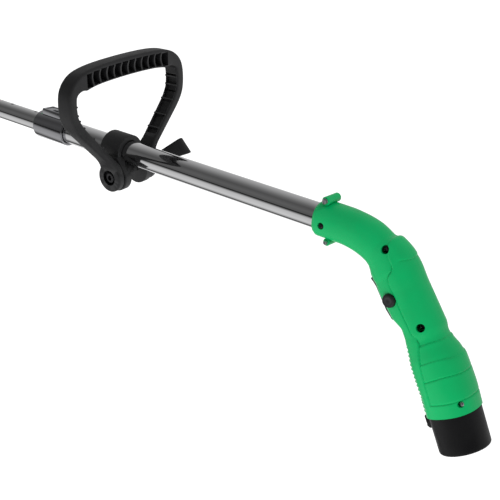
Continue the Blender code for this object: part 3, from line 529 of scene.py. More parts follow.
BLADE = brushed("blade_look", (0.5, 0.5, 0.51), 0.36, (1.0, 0.02, 1.0), (0.16, 0.07, 0.03))
COPPER = brushed("copper_look", (0.85, 0.5, 0.25), 0.3)

LOOKS = {
    "green_plastic": GREEN, "black_plastic": BLACK, "chrome": CHROME, "steel": STEEL,
    "rotor_plastic": ROTOR_LOOK, "copper": COPPER, "belt_rubber": RUBBER, "cell_sleeve": SLEEVE,
    "board": BOARD,
}
SMALL_NODE = 0.006          # a CAD node thinner than this many metres gets the smaller bevel


def dress_cad_nodes():
    """Gives every CAD node its finished material and rounded edges."""
    for row in frame["record"]["subparts"]:
        node = frame["nodes"][row["node"]]
        look = LOOKS[row["material_slot"]]
        if row["node"] == "scraper_blade":
            look = BLADE
        for place in node.material_slots:
            place.material = look
        bevel(node, 0.35 if min(node.dimensions) > SMALL_NODE else 0.12)


# ------------ handle shells

# Border of the raised panel on the grip: place on the spine and height over it
PANEL_BORDER = np.array((
    (64.0, 24.0), (69.5, 20.5), (74.0, 15.5), (82.0, 11.6), (89.5, 9.8), (92.2, 7.4), (93.8, 3.2),
    (96.5, 0.7), (102.0, -0.4), (116.0, -0.8), (148.0, -0.2), (150.5, 0.8), (153.5, 3.2), (160.0, 2.9),
    (166.0, 0.7), (175.0, -1.9), (189.0, -4.9), (206.0, -8.4), (216.0, -9.2), (224.0, -9.6),
))
BORDER_GROOVE = 0.85        # depth of the groove along the border
# Rings round the battery end: place at the side, drift down the handle at the back, step up, groove
RINGS = ((161.8, 3.4, 1.0, 0.4), (177.4, 4.2, 0.8, 0.3), (193.4, 3.4, 0.0, 0.9), (215.4, 0.0, 0.0, 0.9))
CAP_SEAM = 88.0             # seam across the hump
CAP_START = 70.0
CAP_RISE = 0.7
SEAM = 0.06                 # gap between the visible halves
RIPPLE_PITCH = 3.9
RIPPLE_SPAN = (157.0, 226.0)
# Screws and button beside the spine: place on it and height over it
SHELL_SCREWS = ((75.0, 12.6), (146.8, 10.4))
NECK_SCREW = (11.0, -2.0)
END_SCREW = (218.5, 18.2)
BUTTON = (114.5, -7.3)
BUTTON_R = 6.3
# Floor of each screw's well and of the button's, and the well's radius
SHELL_WELL = (3.9, -12.0)
NECK_WELL = (3.4, -15.3)
END_WELL = (2.9, -16.4)
BUTTON_WELL = (BUTTON_R + 0.4, -10.0)
MOUTH_BOSSES = ((-9.0, 20.0, 4.2), (-15.0, -18.6, 3.6))     # y, z and radius
BOSS_HALF = 10.5
BOSS_HOLE = 1.9
TRIGGER_HALF = 4.8
# Openings in the front of the grip: span along the spine, half width and the height of the floor
TRIGGER_OPENING = (88.5, 135.5, TRIGGER_HALF + 0.6, -12.0)
LOWER_SLOT = (145.6, 152.6, 6.5, -12.5)
UPPER_SLOT = (57.5, 66.5, 8.2, -14.6)


def ease(value, low, high):
    """0 below low, 1 above high, smooth between."""
    t = np.clip((value - low) / (high - low), 0.0, 1.0)
    return t * t * (3 - 2 * t)


def section(places):
    """Half depths and half width along the handle, with the corners of the section table rounded off."""
    table = np.array(SECTIONS)
    reach = np.where(places < 8.0, 0.4, np.where((places > 62.0) & (places < 80.0), 0.8, 1.6))
    spread = reach[:, None] * np.array((-1.0, -0.5, 0.0, 0.5, 1.0))
    near = np.clip(places[:, None] + spread, 0.0, SHELL_END)
    return [np.interp(near, table[:, 0], table[:, k]).mean(axis=1) for k in (1, 2, 3)]


def from_border(place, height):
    """Distance from the panel's border, positive on the panel's side."""
    nearest = np.full(place.shape, 1e9)
    for (s0, n0), (s1, n1) in zip(PANEL_BORDER[:-1], PANEL_BORDER[1:]):
        ds, dn = s1 - s0, n1 - n0
        t = np.clip(((place - s0) * ds + (height - n0) * dn) / (ds * ds + dn * dn), 0.0, 1.0)
        nearest = np.minimum(nearest, np.hypot(place - s0 - t * ds, height - n0 - t * dn))
    line = np.interp(place, PANEL_BORDER[:, 0], PANEL_BORDER[:, 1])
    return np.where(height > line, nearest, -nearest)


def between(place, start, rise, fall, end):
    """1 between rise and fall, 0 before start and after end."""
    return ease(place, start, rise) * (1.0 - ease(place, fall, end))


def border_relief(place, away, inside):
    """The groove along the panel's border and the panel's own height."""
    groove = BORDER_GROOVE * between(place, 84.0, 91.0, 214.5, 217.0)
    groove = groove * (1.0 - 0.7 * between(place, 150.0, 153.0, 160.0, 162.0))
    level = -groove * np.exp(-(away / 0.65) ** 2)
    level = level + 0.7 * (inside - 1.0) * between(place, 90.0, 96.0, 152.0, 158.0)
    return level + 1.2 * inside * between(place, 68.5, 71.0, 92.0, 112.0)


def ring_relief(place, height, inside):
    """The stepped and grooved rings round the battery end."""
    level = 0.0
    for at, drift, step, depth in RINGS:
        ring = at + drift * np.clip((height - 8.0) / 18.0, 0.0, 1.0) ** 2
        risen = ease(place, ring - 0.5, ring + 0.4) - 1.0
        level = level + step * inside * risen * ease(place, 150.0, 160.0)
        level = level - depth * inside * np.exp(-((place - ring) / 0.62) ** 2)
    return level


def cap_relief(place, height):
    """The raised cap on the back of the hump and the seam behind it."""
    seam = CAP_SEAM + 3.0 * np.clip((height - 17.0) / 5.0, 0.0, 1.0)
    on_back = ease(height, 14.0, 18.0)
    on_cap = between(place, CAP_START, CAP_START + 3.0, seam - 0.4, seam + 0.4)
    return CAP_RISE * on_back * (on_cap - np.exp(-((place - seam) / 0.55) ** 2))


def ripple_relief(place, height, front):
    """The ripples for the fingers, on the front of the grip."""
    start, end = RIPPLE_SPAN
    finger = ease(-height / front, 0.62, 0.84) * between(place, start, start + 4.0, end - 3.0, end)
    return 0.6 * finger * (np.cos(2 * math.pi * place / RIPPLE_PITCH) - 0.3)


def relief(place, height, front):
    """How far the shell stands off its plain section, in millimetres."""
    away = from_border(place, height)
    inside = ease(away, -0.45, 0.45) * between(place, 68.0, 71.0, 221.0, 222.0)
    panel = border_relief(place, away, inside) + ring_relief(place, height, inside)
    return panel + cap_relief(place, height) + ripple_relief(place, height, front)


def shell_rows():
    """Places along the spine, closer where the relief is fine."""
    mouth = np.linspace(0.0, 4.0, 9)
    neck = np.arange(5.2, 60.0, 1.5)
    grip = np.arange(60.0, SHELL_END - 1.0, 0.62)
    return np.concatenate([mouth, neck, grip, [SHELL_END - 0.6, SHELL_END]])


OUTER_STEPS = 110           # points round half of the outside
INNER_STEPS = 22            # points round half of the inside


def half_section(sizes, steps, side, lifted=None, places=None):
    """Side view heights and sideways reach of one half of every section."""
    back, front, width = (size[:, None] for size in sizes)
    turn = np.linspace(0.0, math.pi, steps + 1)[None, :]
    power = 2 / SECTION_POWER
    rise = np.sign(np.cos(turn)) * np.abs(np.cos(turn)) ** power
    reach = np.clip(np.sin(turn), 0.0, 1.0) ** power
    height = np.where(rise > 0, back, front) * rise
    across = (width - SEAM / 2) * reach
    if lifted is not None:
        level = relief(places[:, None] + 0 * height, height, front)
        steep = SECTION_POWER - 1
        depth = np.where(rise > 0, back, front)
        facing = np.stack([np.sign(rise) * np.abs(rise) ** steep / depth, reach ** steep / width])
        facing = facing / np.linalg.norm(facing, axis=0)
        height = height + level * facing[0]
        across = np.maximum(across + level * facing[1], 0.0)
    return height, side * (SEAM / 2 + across)


def shell_solid(side):
    """One handle half: a finely modelled outside and a plain inside, joined along seams and ends."""
    places = shell_rows()
    sizes = section(places)
    part = np.clip((places - NECK_STRAIGHT) / 8.0, 0.0, 1.0)
    bore = TUBE_R + GAP
    hollow = [bore + (np.maximum(size - WALL, bore) - bore) * part for size in sizes]
    out_height, out_side = half_section(sizes, OUTER_STEPS, side, True, places)
    in_height, in_side = half_section(hollow, INNER_STEPS, side)
    rings = []
    for k, place in enumerate(places):
        y, z, angle = spine(place)
        ring = []
        for height, across in ((out_height[k], out_side[k]), (in_height[k][::-1], in_side[k][::-1])):
            ring += [(x, y - math.sin(angle) * n, z + math.cos(angle) * n) for n, x in zip(height, across)]
        rings.append(ring)
    return tube_shape(rings)


def beside_spine(place, height):
    """The point at a height over a place on the spine, in the tool frame."""
    y, z, angle = spine(place)
    return (0.0, y - math.sin(angle) * height, z + math.cos(angle) * height)


def well(radius, floor, place, height):
    """Cutter for a round well in the left side, down to its floor."""
    return rod(radius, -40.0, floor, "X", beside_spine(place, height), 40)


def front_opening(low, high, half_width, floor, outside):
    """Cutter for an opening in the front of the grip, between two places on the spine."""
    y, z, angle = spine((low + high) / 2)
    half = (high - low) / 2
    turn = Matrix.Translation((0.0, y, z)) @ Matrix.Rotation(angle, 4, "X")
    return moved(block((-half_width, -half, outside), (half_width, half, floor)), turn)


def mouth_boss(side, y, z, radius):
    """One half of a screw boss beside the mouth, with a web down to the neck."""
    low, high = sorted((side * SEAM / 2, side * BOSS_HALF))
    left_lip = 0.9 if side < 0 else 0.0
    right_lip = 0.9 if side > 0 else 0.0
    profile = [(NEAR_AXIS, low), (radius - left_lip, low), (radius, low + left_lip),
               (radius, high - right_lip), (radius - right_lip, high), (NEAR_AXIS, high)]
    return turned(profile, "X", (0.0, y, z), 48)


def handle_shell(side):
    """One green half with its bosses, its openings and, on the left, the wells of screws and button."""
    name = "handle_shell_left" if side < 0 else "handle_shell_right"
    made = to_object(name + "_moulded", *shell_solid(side), TOOL)
    for y, z, radius in MOUTH_BOSSES:
        join(made, mouth_boss(side, y, z, radius), TOOL)
    holes = [front_opening(*TRIGGER_OPENING, outside=-45.0)]
    holes += [front_opening(*slot, outside=-30.0) for slot in (LOWER_SLOT, UPPER_SLOT)]
    ends = (-BOSS_HALF - 1, BOSS_HALF + 1)
    holes += [rod(BOSS_HOLE, *ends, "X", (0.0, y, z)) for y, z, radius in MOUTH_BOSSES]
    if side < 0:
        holes += [well(*SHELL_WELL, *screw) for screw in SHELL_SCREWS]
        holes += [well(*NECK_WELL, *NECK_SCREW), well(*BUTTON_WELL, *BUTTON), well(*END_WELL, *END_SCREW)]
    cut(made, holes, TOOL)
    finish_piece(smooth(made, 38.0), GREEN, "handle", "green_plastic", name)


# ------------ tubes and collar

OUTER_START = -22.0         # upper end of the outer tube, inside the handle
SLEEVE_STOP = 363.5         # the outer tube ends here, inside the collar
OUTER_WALL = 1.1
INNER_START = 299.5
TUBE_LENGTH = 911.5         # handle mouth to the lower end of the inner tube
INNER_WALL = 1.0
COLLAR_R = 15.5
LOCK_HOLE = 1.9
LOCK_HOLE_PITCH = 40.0
LOCK_PIN = (368.0, 2.4)     # place and radius of the hole for the rocker's pin


def drawn_tube(name, radius, wall, low, high):
    """A plain tube with softened rims."""
    outline = [(radius, low), (radius, high), (radius - wall, high), (radius - wall, low)]
    return to_object(name, *turned(rounded(outline, 0.4, 2), "Y"), TOOL)


def tubes():
    """The two chromed tubes, and the row of lock holes in the inner one."""
    made = drawn_tube("outer_tube_drawn", TUBE_R, OUTER_WALL, OUTER_START, SLEEVE_STOP - 0.2)
    finish_piece(smooth(made, 50.0), CHROME, "handle", "chrome", "outer_tube")
    made = drawn_tube("inner_tube_drawn", INNER_R, INNER_WALL, INNER_START, TUBE_LENGTH)
    places = [COLLAR[1] + 12.0 + LOCK_HOLE_PITCH * i for i in range(3)]
    cut(made, [rod(LOCK_HOLE, 5.0, 20.0, "Z", (0.0, place, 0.0)) for place in places], TOOL)
    finish_piece(smooth(made, 40.0), CHROME, "head", "chrome", "inner_tube")


def collar():
    """The chromed lock collar with the raised housing of its rocker."""
    low, high = COLLAR
    shoulder = SLEEVE_STOP + GAP
    skin = [(TUBE_R + GAP, low), (TUBE_R + GAP, shoulder), (INNER_R + GAP, shoulder), (INNER_R + GAP, high),
            (COLLAR_R, high), (COLLAR_R, low)]
    made = to_object("lock_collar_plated", *turned(rounded(skin, 0.8), "Y"), TOOL)
    house = bevel(to_object("house", *block((-8.5, 345.5, 12.9), (8.5, 374.5, 20.4)), TOOL), 1.6, 4)
    boolean(made, bake(house), "UNION")
    pocket = bevel(to_object("pocket", *block((-5.4, 348.5, 14.4), (5.4, 371.5, 30.0)), TOOL), 0.8, 3)
    boolean(made, bake(pocket), "DIFFERENCE")
    cut(made, [rod(TUBE_R + GAP, low - 5.0, shoulder, "Y", segments=96)], TOOL)
    place, radius = LOCK_PIN
    cut(made, [rod(radius, 5.0, 20.0, "Z", (0.0, place, 0.0))], TOOL)
    # The collar's chrome is painted darker, as shade.
    finish_piece(smooth(made, 40.0), CHROME_PAINTED_SHADE, "handle", "chrome", "lock_collar")


# ------------ bail, clamp and wing nut

EAR_R = 16.5
EAR_IN = 11.8               # half of the gap between the clamp's ears
EAR_OUT = 20.5              # half of the width over the ears
CLAMP_R = 18.5
FOOT_OUT = 29.0             # half of the width over the bail's feet
FOOT_R = 15.4
HEAD_RECESS = (8.2, 4.2)    # radius and depth of the recess for the bolt's head
HEAD_HEIGHT = 2.8
BAIL_HALF = 9.5             # half of its depth, front to back
FOOT_FLARE = 4.8            # how much wider each side gets at the feet
# Thickness at a share of the way from a foot to the middle of the bar
BAIL_THICKNESS = ((0.0, 7.0), (0.2, 8.5), (0.4, 11.0), (0.6, 11.0), (0.65, 12.0), (0.72, 15.0), (0.79, 19.0))
BAR_SLOTS = 12
SLOT_REACH = 55.0           # the row of slots ends this far from the middle of the bar
SLOT_HALF = 4.1
LEG_RIBS = 6
LEG_SHARES = (0.2, 0.56)    # the ribbed stretch of a leg


def bail_outline():
    """The right half of the bail's outer face as (x, z), from the foot to the middle of the bar."""
    foot = [(FOOT_OUT - 0.5, -4.0), (FOOT_OUT - 0.5, 8.0)]
    leg = [(34.0, 17.0), (47.0, 31.0), (60.0, 44.5), (74.5, 60.0)]
    bend = [(81.5, 71.0), (84.0, 82.0), (84.0, 95.0)]
    corner = [(81.5, 105.0), (75.0, 113.5), (65.0, 119.5)]
    bar = [(50.0, 122.8), (30.0, 124.4), (0.0, 125.0)]
    return foot + leg + bend + corner + bar


def bail_stations():
    """The whole bail as (point, inward direction, thickness), densely."""
    half = [Vector((x, 0.0, z)) for x, z in bail_outline()]
    path = half + [Vector((-p.x, 0.0, p.z)) for p in reversed(half[:-1])]
    curve = through(path, 8)
    shares, thick = zip(*BAIL_THICKNESS)
    last = len(curve) - 1
    stations = []
    for i, (point, heading) in enumerate(curve):
        share = min(i, last - i) / (last / 2)
        inward = Vector((-heading.z, 0.0, heading.x))
        stations.append((point, inward, float(np.interp(share, shares, thick))))
    return stations


def bail_section(station, along, depth):
    """A point of the bail: along its depth from front to back, and inwards from its outer face."""
    point, inward, thick = station
    return tuple(point + Vector((0.0, along, 0.0)) + inward * depth)


def bail_channel(stations, side):
    """A trough along the inner face of one leg."""
    half = len(stations) // 2
    first, last = (int(share * half) for share in LEG_SHARES)
    if side > 0:
        picked = stations[first:last + 1]
    else:
        picked = stations[len(stations) - 1 - last:len(stations) - first]
    rings = []
    for station in picked:
        thick = station[2]
        corners = ((-6.9, thick - 3.2), (6.9, thick - 3.2), (7.5, thick + 4.0), (-7.5, thick + 4.0))
        rings.append([bail_section(station, *corner) for corner in corners])
    return tube_shape(rings)


def leg_ribs(stations, side):
    """Thin cross ribs in a leg's trough, standing a little proud of its rims."""
    half = len(stations) // 2
    ribs = []
    for share in np.linspace(LEG_SHARES[0] + 0.03, LEG_SHARES[1] - 0.02, LEG_RIBS):
        number = int(share * half)
        point, inward, thick = stations[number] if side > 0 else stations[len(stations) - 1 - number]
        heading = Vector((inward.z, 0.0, -inward.x))
        axes = Matrix((heading, Vector((0.0, 1.0, 0.0)), inward)).transposed().to_4x4()
        rib = block((-0.7, -8.2, thick - 4.2), (0.7, 8.2, thick + 0.7))
        ribs.append(moved(rib, Matrix.Translation(point) @ axes))
    return ribs


def grip_slots(stations):
    """Cutters for the row of slots in the rear face of the bar."""
    top = {round(point.x, 3): point.z for point, inward, thick in stations if point.z > 115.0}
    xs = sorted(top)
    slots = []
    for x in np.linspace(-SLOT_REACH, SLOT_REACH, BAR_SLOTS):
        crown = float(np.interp(x, xs, [top[key] for key in xs]))
        outline = [(-20.0, crown - 17.2), (-20.0, crown - 3.4), (-6.0, crown - 3.4), (3.5, crown - 6.0),
                   (3.5, crown - 14.6), (-6.0, crown - 17.2)]
        slots.append(prism(outline, x - SLOT_HALF, x + SLOT_HALF))
    return slots


def rib_hollow():
    """A shallow trough that makes the ribs' rear edges concave."""
    return rod(13.0, -SLOT_REACH - 4.0, SLOT_REACH + 4.0, "X", (0.0, -20.6, 113.4), 64)


def bail():
    """The bail with its troughs, ribs, feet and bores."""
    stations = bail_stations()
    rings = []
    for station in stations:
        thick = station[2]
        half = BAIL_HALF + FOOT_FLARE * (1.0 - ease(station[0].z, 4.0, 25.0))
        corners = [(-half, 0.0), (half, 0.0), (half, thick), (-half, thick)]
        edge = min(3.4, thick * 0.42)
        rings.append([bail_section(station, *corner) for corner in rounded(corners, edge, 5)])
    made = to_object("loop_handle_moulded", *tube_shape(rings), BAIL)
    cut(made, [bail_channel(stations, side) for side in (-1, 1)], BAIL)
    join(made, merge(leg_ribs(stations, 1) + leg_ribs(stations, -1)), BAIL)
    for side in (-1, 1):
        low, high = sorted((side * (EAR_OUT + GAP), side * FOOT_OUT))
        join(made, disc(FOOT_R, low, high, 1.6), BAIL)
    radius, depth = HEAD_RECESS
    cut(made, [rod(radius, -40.0, -FOOT_OUT + depth)], BAIL)
    cut(made, [rod(BOLT_R + 0.4, -40.0, 40.0)], BAIL)
    cut(made, [rib_hollow()], BAIL)
    cut(made, grip_slots(stations), BAIL)
    finish_piece(smooth(made, 34.0), BLACK, "loop", "black_plastic", "loop_handle")


def clamp():
    """A split ring on the tube with two ears for the cross bolt."""
    low, high = CLAMP
    bore = TUBE_R + 0.2
    skin = rounded([(CLAMP_R, low), (CLAMP_R, high), (bore, high), (bore, low)], 1.2)
    made = to_object("loop_clamp_moulded", *turned(skin, "Y"), CLAMP_FRAME)
    outline = [(high, -1.0)] + arc((BOLT_Y, BOLT_Z), EAR_R, 12.0, -192.0, 40) + [(low, -1.0)]
    ears = bevel(to_object("ears", *prism(outline, -EAR_OUT, EAR_OUT), CLAMP_FRAME), 1.5, 4, 40.0)
    boolean(made, bake(ears), "UNION")
    cut(made, [rod(bore, low - 30.0, high + 30.0, "Y", segments=96)], CLAMP_FRAME)
    cut(made, [block((-EAR_IN, low - 30.0, -60.0), (EAR_IN, high + 30.0, -17.0))], CLAMP_FRAME)
    cut(made, [block((-1.5, low - 30.0, -30.0), (1.5, high + 30.0, -8.0))], CLAMP_FRAME)
    cut(made, [rod(BOLT_R + GAP, -40.0, 40.0, "X", (0.0, BOLT_Y, BOLT_Z))], CLAMP_FRAME)
    finish_piece(smooth(made, 36.0), BLACK, "clamp", "black_plastic", "loop_clamp")


def cross_bolt():
    """A cap screw with a socket in its head."""
    seat = -FOOT_OUT + HEAD_RECESS[1] - GAP
    top = seat - HEAD_HEIGHT
    socket = [(NEAR_AXIS, top + 2.0), (2.6, top + 2.0), (2.6, top + 0.2), (2.9, top)]
    head = socket + [(4.7, top), (5.3, top + 0.3), (5.5, top + 0.9), (5.5, seat)]
    shank = [(BOLT_R, seat), (BOLT_R, BOLT_END - 0.5), (BOLT_R - 0.5, BOLT_END), (NEAR_AXIS, BOLT_END)]
    made = to_object("loop_bolt_turned", *turned(head + shank, "X", closed=False), BAIL)
    # The bolt's steel is painted dark as the shade of the recess in the foot.
    finish_piece(smooth(made, 40.0), STEEL_IN_PAINTED_SHADE, "clamp", "steel", "loop_bolt")


WING_ANGLE = 137.0          # direction of the first wing round the bolt
WING_BACK = -4.4            # flat back of a wing, behind the bolt's axis
WING_FLARE = (3.0, 0.4)     # its front: distance at the axis, and gain towards the tip
# Side of a wing: distance from the bolt's axis, place along it
WING_SIDE = ((2.0, 4.0), (7.5, 6.0), (17.5, 15.0), (30.0, 26.0), (33.0, 31.0), (31.0, 36.0),
             (24.5, 36.5), (12.0, 26.0), (4.5, 16.5), (2.0, 14.0))


def wing_nut():
    """A hub with two wings that sweep out from the bail and thicken towards their tips."""
    low = FOOT_OUT + 1.5 + GAP
    hub = [(NEAR_AXIS, low), (8.5, low), (8.5, low + 4.0), (8.0, low + 9.0), (7.2, low + 14.5),
           (6.4, low + 16.7), (5.0, low + 17.5), (NEAR_AXIS, low + 17.5)]
    made = to_object("wing_nut_moulded", *turned(hub, "X"), BAIL)
    outline = softened([(r, low + x) for r, x in WING_SIDE])
    start, gain = WING_FLARE
    rings = [[(x, r, WING_BACK) for r, x in outline], [(x, r, start + gain * r) for r, x in outline]]
    for turn in (WING_ANGLE, WING_ANGLE + 180.0):
        spin = Matrix.Rotation(math.radians(turn), 4, "X")
        wing = bevel(to_object("wing", *moved(tube_shape(rings), spin), BAIL), 2.4, 5, 50.0)
        boolean(made, bake(wing), "UNION")
    cut(made, [rod(BOLT_R + GAP, low - 5.0, BOLT_END + GAP)], BAIL)
    finish_piece(smooth(made, 36.0), BLACK, "wing", "black_plastic", "wing_nut")


# ------------ battery

CUP_TOP = PACK_Y - GAP
CUP_END = CUP_TOP - 36.0
CUP_FLOOR = CUP_END + 3.0
CUP_EDGE = 2.7              # radius of the rounded edge at the cup's end
STEM_R = 21.0
STEM_TOP = 35.0
LATCH = (-27.0, -14.4)      # span of the release key along the pack
LATCH_HALF = 6.9


def battery():
    """The cup and its stem, with the pocket of the release key."""
    bore = STEM_R - 1.2
    inside = [(NEAR_AXIS, CUP_FLOOR), (bore, CUP_FLOOR), (bore, STEM_TOP), (STEM_R, STEM_TOP),
              (STEM_R, CUP_TOP)]
    rim = [(PACK_R - 0.8, CUP_TOP), (PACK_R - 0.2, CUP_TOP - 0.3), (PACK_R, CUP_TOP - 1.0)]
    foot = []
    for turn in np.linspace(0.0, 1.5708, 8):
        out = CUP_EDGE * math.cos(turn)
        foot.append((PACK_R - 3.0 + out, CUP_END + CUP_EDGE - CUP_EDGE * math.sin(turn)))
    case = inside + rim + foot + [(NEAR_AXIS, CUP_END)]
    made = to_object("battery_case_moulded", *turned(case, "Y", closed=False), PACK)
    pocket = block((-7.5, LATCH[0] - 0.6, -40.0), (7.5, CUP_TOP + 5.0, -20.6))
    cut(made, [pocket], PACK)
    finish_piece(smooth(made, 36.0), SATIN_BLACK, "battery", "black_plastic", "battery_case")


def latch():
    """The release key, with three ribs for the finger."""
    low, high = LATCH
    outline = [(high, -28.2), (high - 0.8, -28.8), (low + 2.0, -28.4), (low, -26.6), (low, -22.8),
               (high, -22.8)]
    made = to_object("battery_latch_moulded", *prism(outline, -LATCH_HALF, LATCH_HALF), PACK)
    bake(bevel(made, 0.5, 3))
    for place in (low + 2.6, (low + high) / 2, high - 2.6):
        rib = to_object("rib", *block((-5.8, place - 0.8, -29.4), (5.8, place + 0.8, -28.0)), PACK)
        boolean(made, bake(bevel(rib, 0.3, 2)), "UNION")
    cut(made, [rod(2.3, -25.5, -20.0, "Z", (0.0, -20.0, 0.0))], PACK)
    finish_piece(smooth(made, 36.0), SATIN_BLACK, "latch", "black_plastic", "battery_latch")


# ------------ screws and the lock-off button

# By default the screw's steel is painted dark as the shade of its well.
def cross_screw(name, place, height, head_x, tip_x, head_r, shank_r, node, look=STEEL_IN_PAINTED_SHADE):
    """A pan-head screw with a cross recess, along x through a point beside the spine."""
    at = beside_spine(place, height)
    seat = head_x + head_r * 0.65
    turns = np.linspace(0.0, 1.5708, 9)[1:]
    dome = [(head_r * math.sin(t), seat - (seat - head_x) * math.cos(t)) for t in turns]
    profile = [(NEAR_AXIS, head_x)] + dome + [(shank_r, seat), (shank_r, tip_x), (NEAR_AXIS, tip_x)]
    made = to_object(name, *turned(profile, "X", at, 32, closed=False), TOOL)
    for wide, tall in ((0.17, 0.62), (0.62, 0.17)):
        half_y = head_r * wide
        half_z = head_r * tall
        low = (head_x - 1.0, at[1] - half_y, at[2] - half_z)
        high = (head_x + 0.8, at[1] + half_y, at[2] + half_z)
        cut(made, [block(low, high)], TOOL)
    finish_piece(smooth(made, 40.0), look, "handle", "steel", node)


def screws():
    """The four screws whose heads show in the left side."""
    for name, at in zip(("shell_screw_upper", "shell_screw_lower"), SHELL_SCREWS):
        cross_screw(name + "_turned", *at, -14.3, 9.0, 3.0, 1.4, name)
    cross_screw("shell_screw_end_turned", *END_SCREW, -18.4, -13.6, 2.2, 1.2, "shell_screw_end", STEEL)
    cross_screw("tube_screw_turned", *NECK_SCREW, -17.4, -9.2, 2.8, 1.4, "tube_screw")


def button():
    """The round lock-off button with a dished face and a collar inside."""
    dish = [(NEAR_AXIS, -22.2), (3.0, -22.35), (4.4, -22.7), (5.2, -22.6), (5.9, -22.1), (BUTTON_R, -21.2)]
    inside = [(BUTTON_R, -13.9), (7.0, -13.9), (7.0, -12.4), (4.6, -12.4), (4.6, -17.5), (NEAR_AXIS, -17.5)]
    shape = turned(dish + inside, "X", beside_spine(*BUTTON), closed=False)
    made = to_object("lock_off_button_moulded", *shape, TOOL)
    finish_piece(smooth(made, 40.0), BLACK, "lock_button", "black_plastic", "lock_off_button")


dress_cad_nodes()
for hand in (-1, 1):
    handle_shell(hand)
tubes()
collar()
bail()
clamp()
cross_bolt()
wing_nut()
battery()
latch()
screws()
button()


# ------------ studio

FLOOR_GLOW = 0.5
SKY = 0.64                  # strength of the even light from all round
# Light round the tube as reflections see it: angle from the user's right towards the tube's upper side,
# and strength
CARDS = ((-60.0, 0.9), (-26.0, 0.8), (30.0, 0.42), (56.0, 0.36), (80.0, 0.25), (104.0, 0.14),
         (125.0, 0.085), (155.0, 0.12), (172.0, 0.1), (180.0, 0.02), (190.0, 0.03), (198.0, 0.3),
         (206.0, 0.55), (246.0, 0.68), (262.0, 0.45), (275.0, 0.1), (288.0, 0.06), (298.0, 0.5))


def studio():
    """A pale floor that glows a little and doesn't show in reflections."""
    bpy.ops.mesh.primitive_plane_add(size=60.0, location=(0.0, 0.0, -0.0005))
    floor = bpy.context.object
    floor.name = "floor"
    floor.visible_glossy = False
    nodes = Nodes("floor_look")
    colour = nodes.ramp(nodes.noise(0.7, 2.0), (0.93, 0.93, 0.93), (0.95, 0.95, 0.95))
    look = nodes.set(Base_Color=colour, Roughness=0.9, Specular_IOR_Level=0.0,
                     Emission_Color=(1.0, 1.0, 1.0, 1.0), Emission_Strength=FLOOR_GLOW)
    floor.data.materials.append(look)


def mix_by(tree, factor, first, second):
    """A mix of two colours, each given as a value or as a socket."""
    mix = tree.nodes.new("ShaderNodeMix")
    mix.data_type = "RGBA"
    tree.links.new(factor, mix.inputs["Factor"])
    for key, colour in (("A", first), ("B", second)):
        if isinstance(colour, tuple):
            mix.inputs[key].default_value = colour
        else:
            tree.links.new(colour, mix.inputs[key])
    return mix.outputs["Result"]


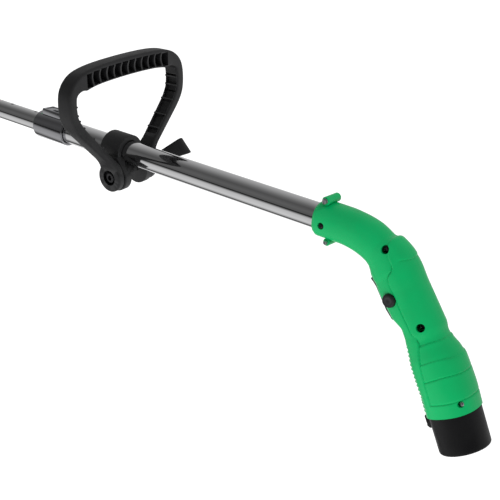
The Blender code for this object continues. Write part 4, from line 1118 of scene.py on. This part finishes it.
def world_light():
    """Even light for most rays, bands of cards for reflections, and white behind the object."""
    world = bpy.data.worlds.new("studio")
    bpy.context.scene.world = world
    world.use_nodes = True
    tree = world.node_tree
    place = tree.nodes.new("ShaderNodeTexCoord").outputs["Generated"]
    parts = []
    for axis in (Vector((1.0, 0.0, 0.0)), TOOL.col[2].to_3d().normalized()):
        dot = tree.nodes.new("ShaderNodeVectorMath")
        dot.operation = "DOT_PRODUCT"
        dot.inputs[1].default_value = axis
        tree.links.new(place, dot.inputs[0])
        parts.append(dot.outputs["Value"])
    turn = tree.nodes.new("ShaderNodeMath")
    turn.operation = "ARCTAN2"
    tree.links.new(parts[1], turn.inputs[0])
    tree.links.new(parts[0], turn.inputs[1])
    share = tree.nodes.new("ShaderNodeMapRange")
    share.inputs["From Min"].default_value = -math.pi
    share.inputs["From Max"].default_value = math.pi
    tree.links.new(turn.outputs["Value"], share.inputs["Value"])
    cards = tree.nodes.new("ShaderNodeValToRGB")
    stops = sorted(((angle + 180.0) % 360.0 / 360.0, level) for angle, level in CARDS)
    ramp = cards.color_ramp
    ramp.interpolation = "LINEAR"
    while len(ramp.elements) < len(stops):
        ramp.elements.new(0.5)
    for element, (position, level) in zip(ramp.elements, stops):
        element.position = position
        element.color = (level, level, level, 1.0)
    tree.links.new(share.outputs["Result"], cards.inputs["Fac"])
    path = tree.nodes.new("ShaderNodeLightPath")
    mixed = mix_by(tree, path.outputs["Is Glossy Ray"], (SKY, SKY, SKY, 1.0), cards.outputs["Color"])
    seen = mix_by(tree, path.outputs["Is Camera Ray"], mixed, (1.0, 1.0, 1.0, 1.0))
    tree.links.new(seen, tree.nodes["Background"].inputs["Color"])
    world.cycles.sampling_method = "NONE"


def soft_light(name, place, target, size, power):
    """A round lamp that lights surfaces and doesn't show in reflections."""
    lamp = bpy.data.lights.new(name, "AREA")
    lamp.shape = "DISK"
    lamp.size = size
    lamp.energy = power
    made = bpy.data.objects.new(name, lamp)
    made.location = place
    made.rotation_euler = (Vector(target) - Vector(place)).to_track_quat("-Z", "Y").to_euler()
    made.visible_glossy = False
    bpy.context.scene.collection.objects.link(made)


LENS = 73.44                        # millimetres, on a 36 mm sensor
# The view in the tool frame, as x, y and z: towards the picture's right, and from the object to the camera
VIEW_RIGHT = (0.6072, -0.7893, 0.0911)
VIEW_BACK = (-0.7554, -0.5378, 0.3744)
VIEW_AIM = 11.5                     # millimetres along the tube from the handle's mouth
VIEW_SHIFT = (-0.0573, -0.0346)     # metres to the right and up
VIEW_DISTANCE = 0.9586              # metres


def camera():
    """Behind, above and to the left of the handle, looking down the tube."""
    lens = bpy.data.cameras.new("camera")
    lens.lens = LENS
    lens.sensor_width = 36.0
    lens.clip_end = 100.0
    made = bpy.data.objects.new("camera", lens)
    bpy.context.scene.collection.objects.link(made)
    side, along, up = (TOOL.col[k].to_3d().normalized() for k in range(3))
    level, back = ((a * side + b * along + c * up).normalized() for a, b, c in (VIEW_RIGHT, VIEW_BACK))
    top = back.cross(level)
    right = top.cross(back)
    aim = TOOL @ Vector((0.0, VIEW_AIM, 0.0))
    place = aim + VIEW_SHIFT[0] * right + VIEW_SHIFT[1] * top + VIEW_DISTANCE * back
    made.matrix_world = Matrix.Translation(place) @ Matrix((right, top, back)).transposed().to_4x4()
    bpy.context.scene.camera = made


def lights():
    """A large light below and to the left of the handle, and a smaller one over its back."""
    target = TOOL @ Vector((0.0, -80.0, -60.0))
    soft_light("key", TOOL @ Vector((-620.0, -420.0, -520.0)), target, 0.6, 4.6)
    soft_light("back_light", TOOL @ Vector((240.0, -520.0, 760.0)), target, 0.26, 3.4)


studio()
world_light()
lights()
camera()
bpy.context.scene.view_settings.view_transform = "Standard"
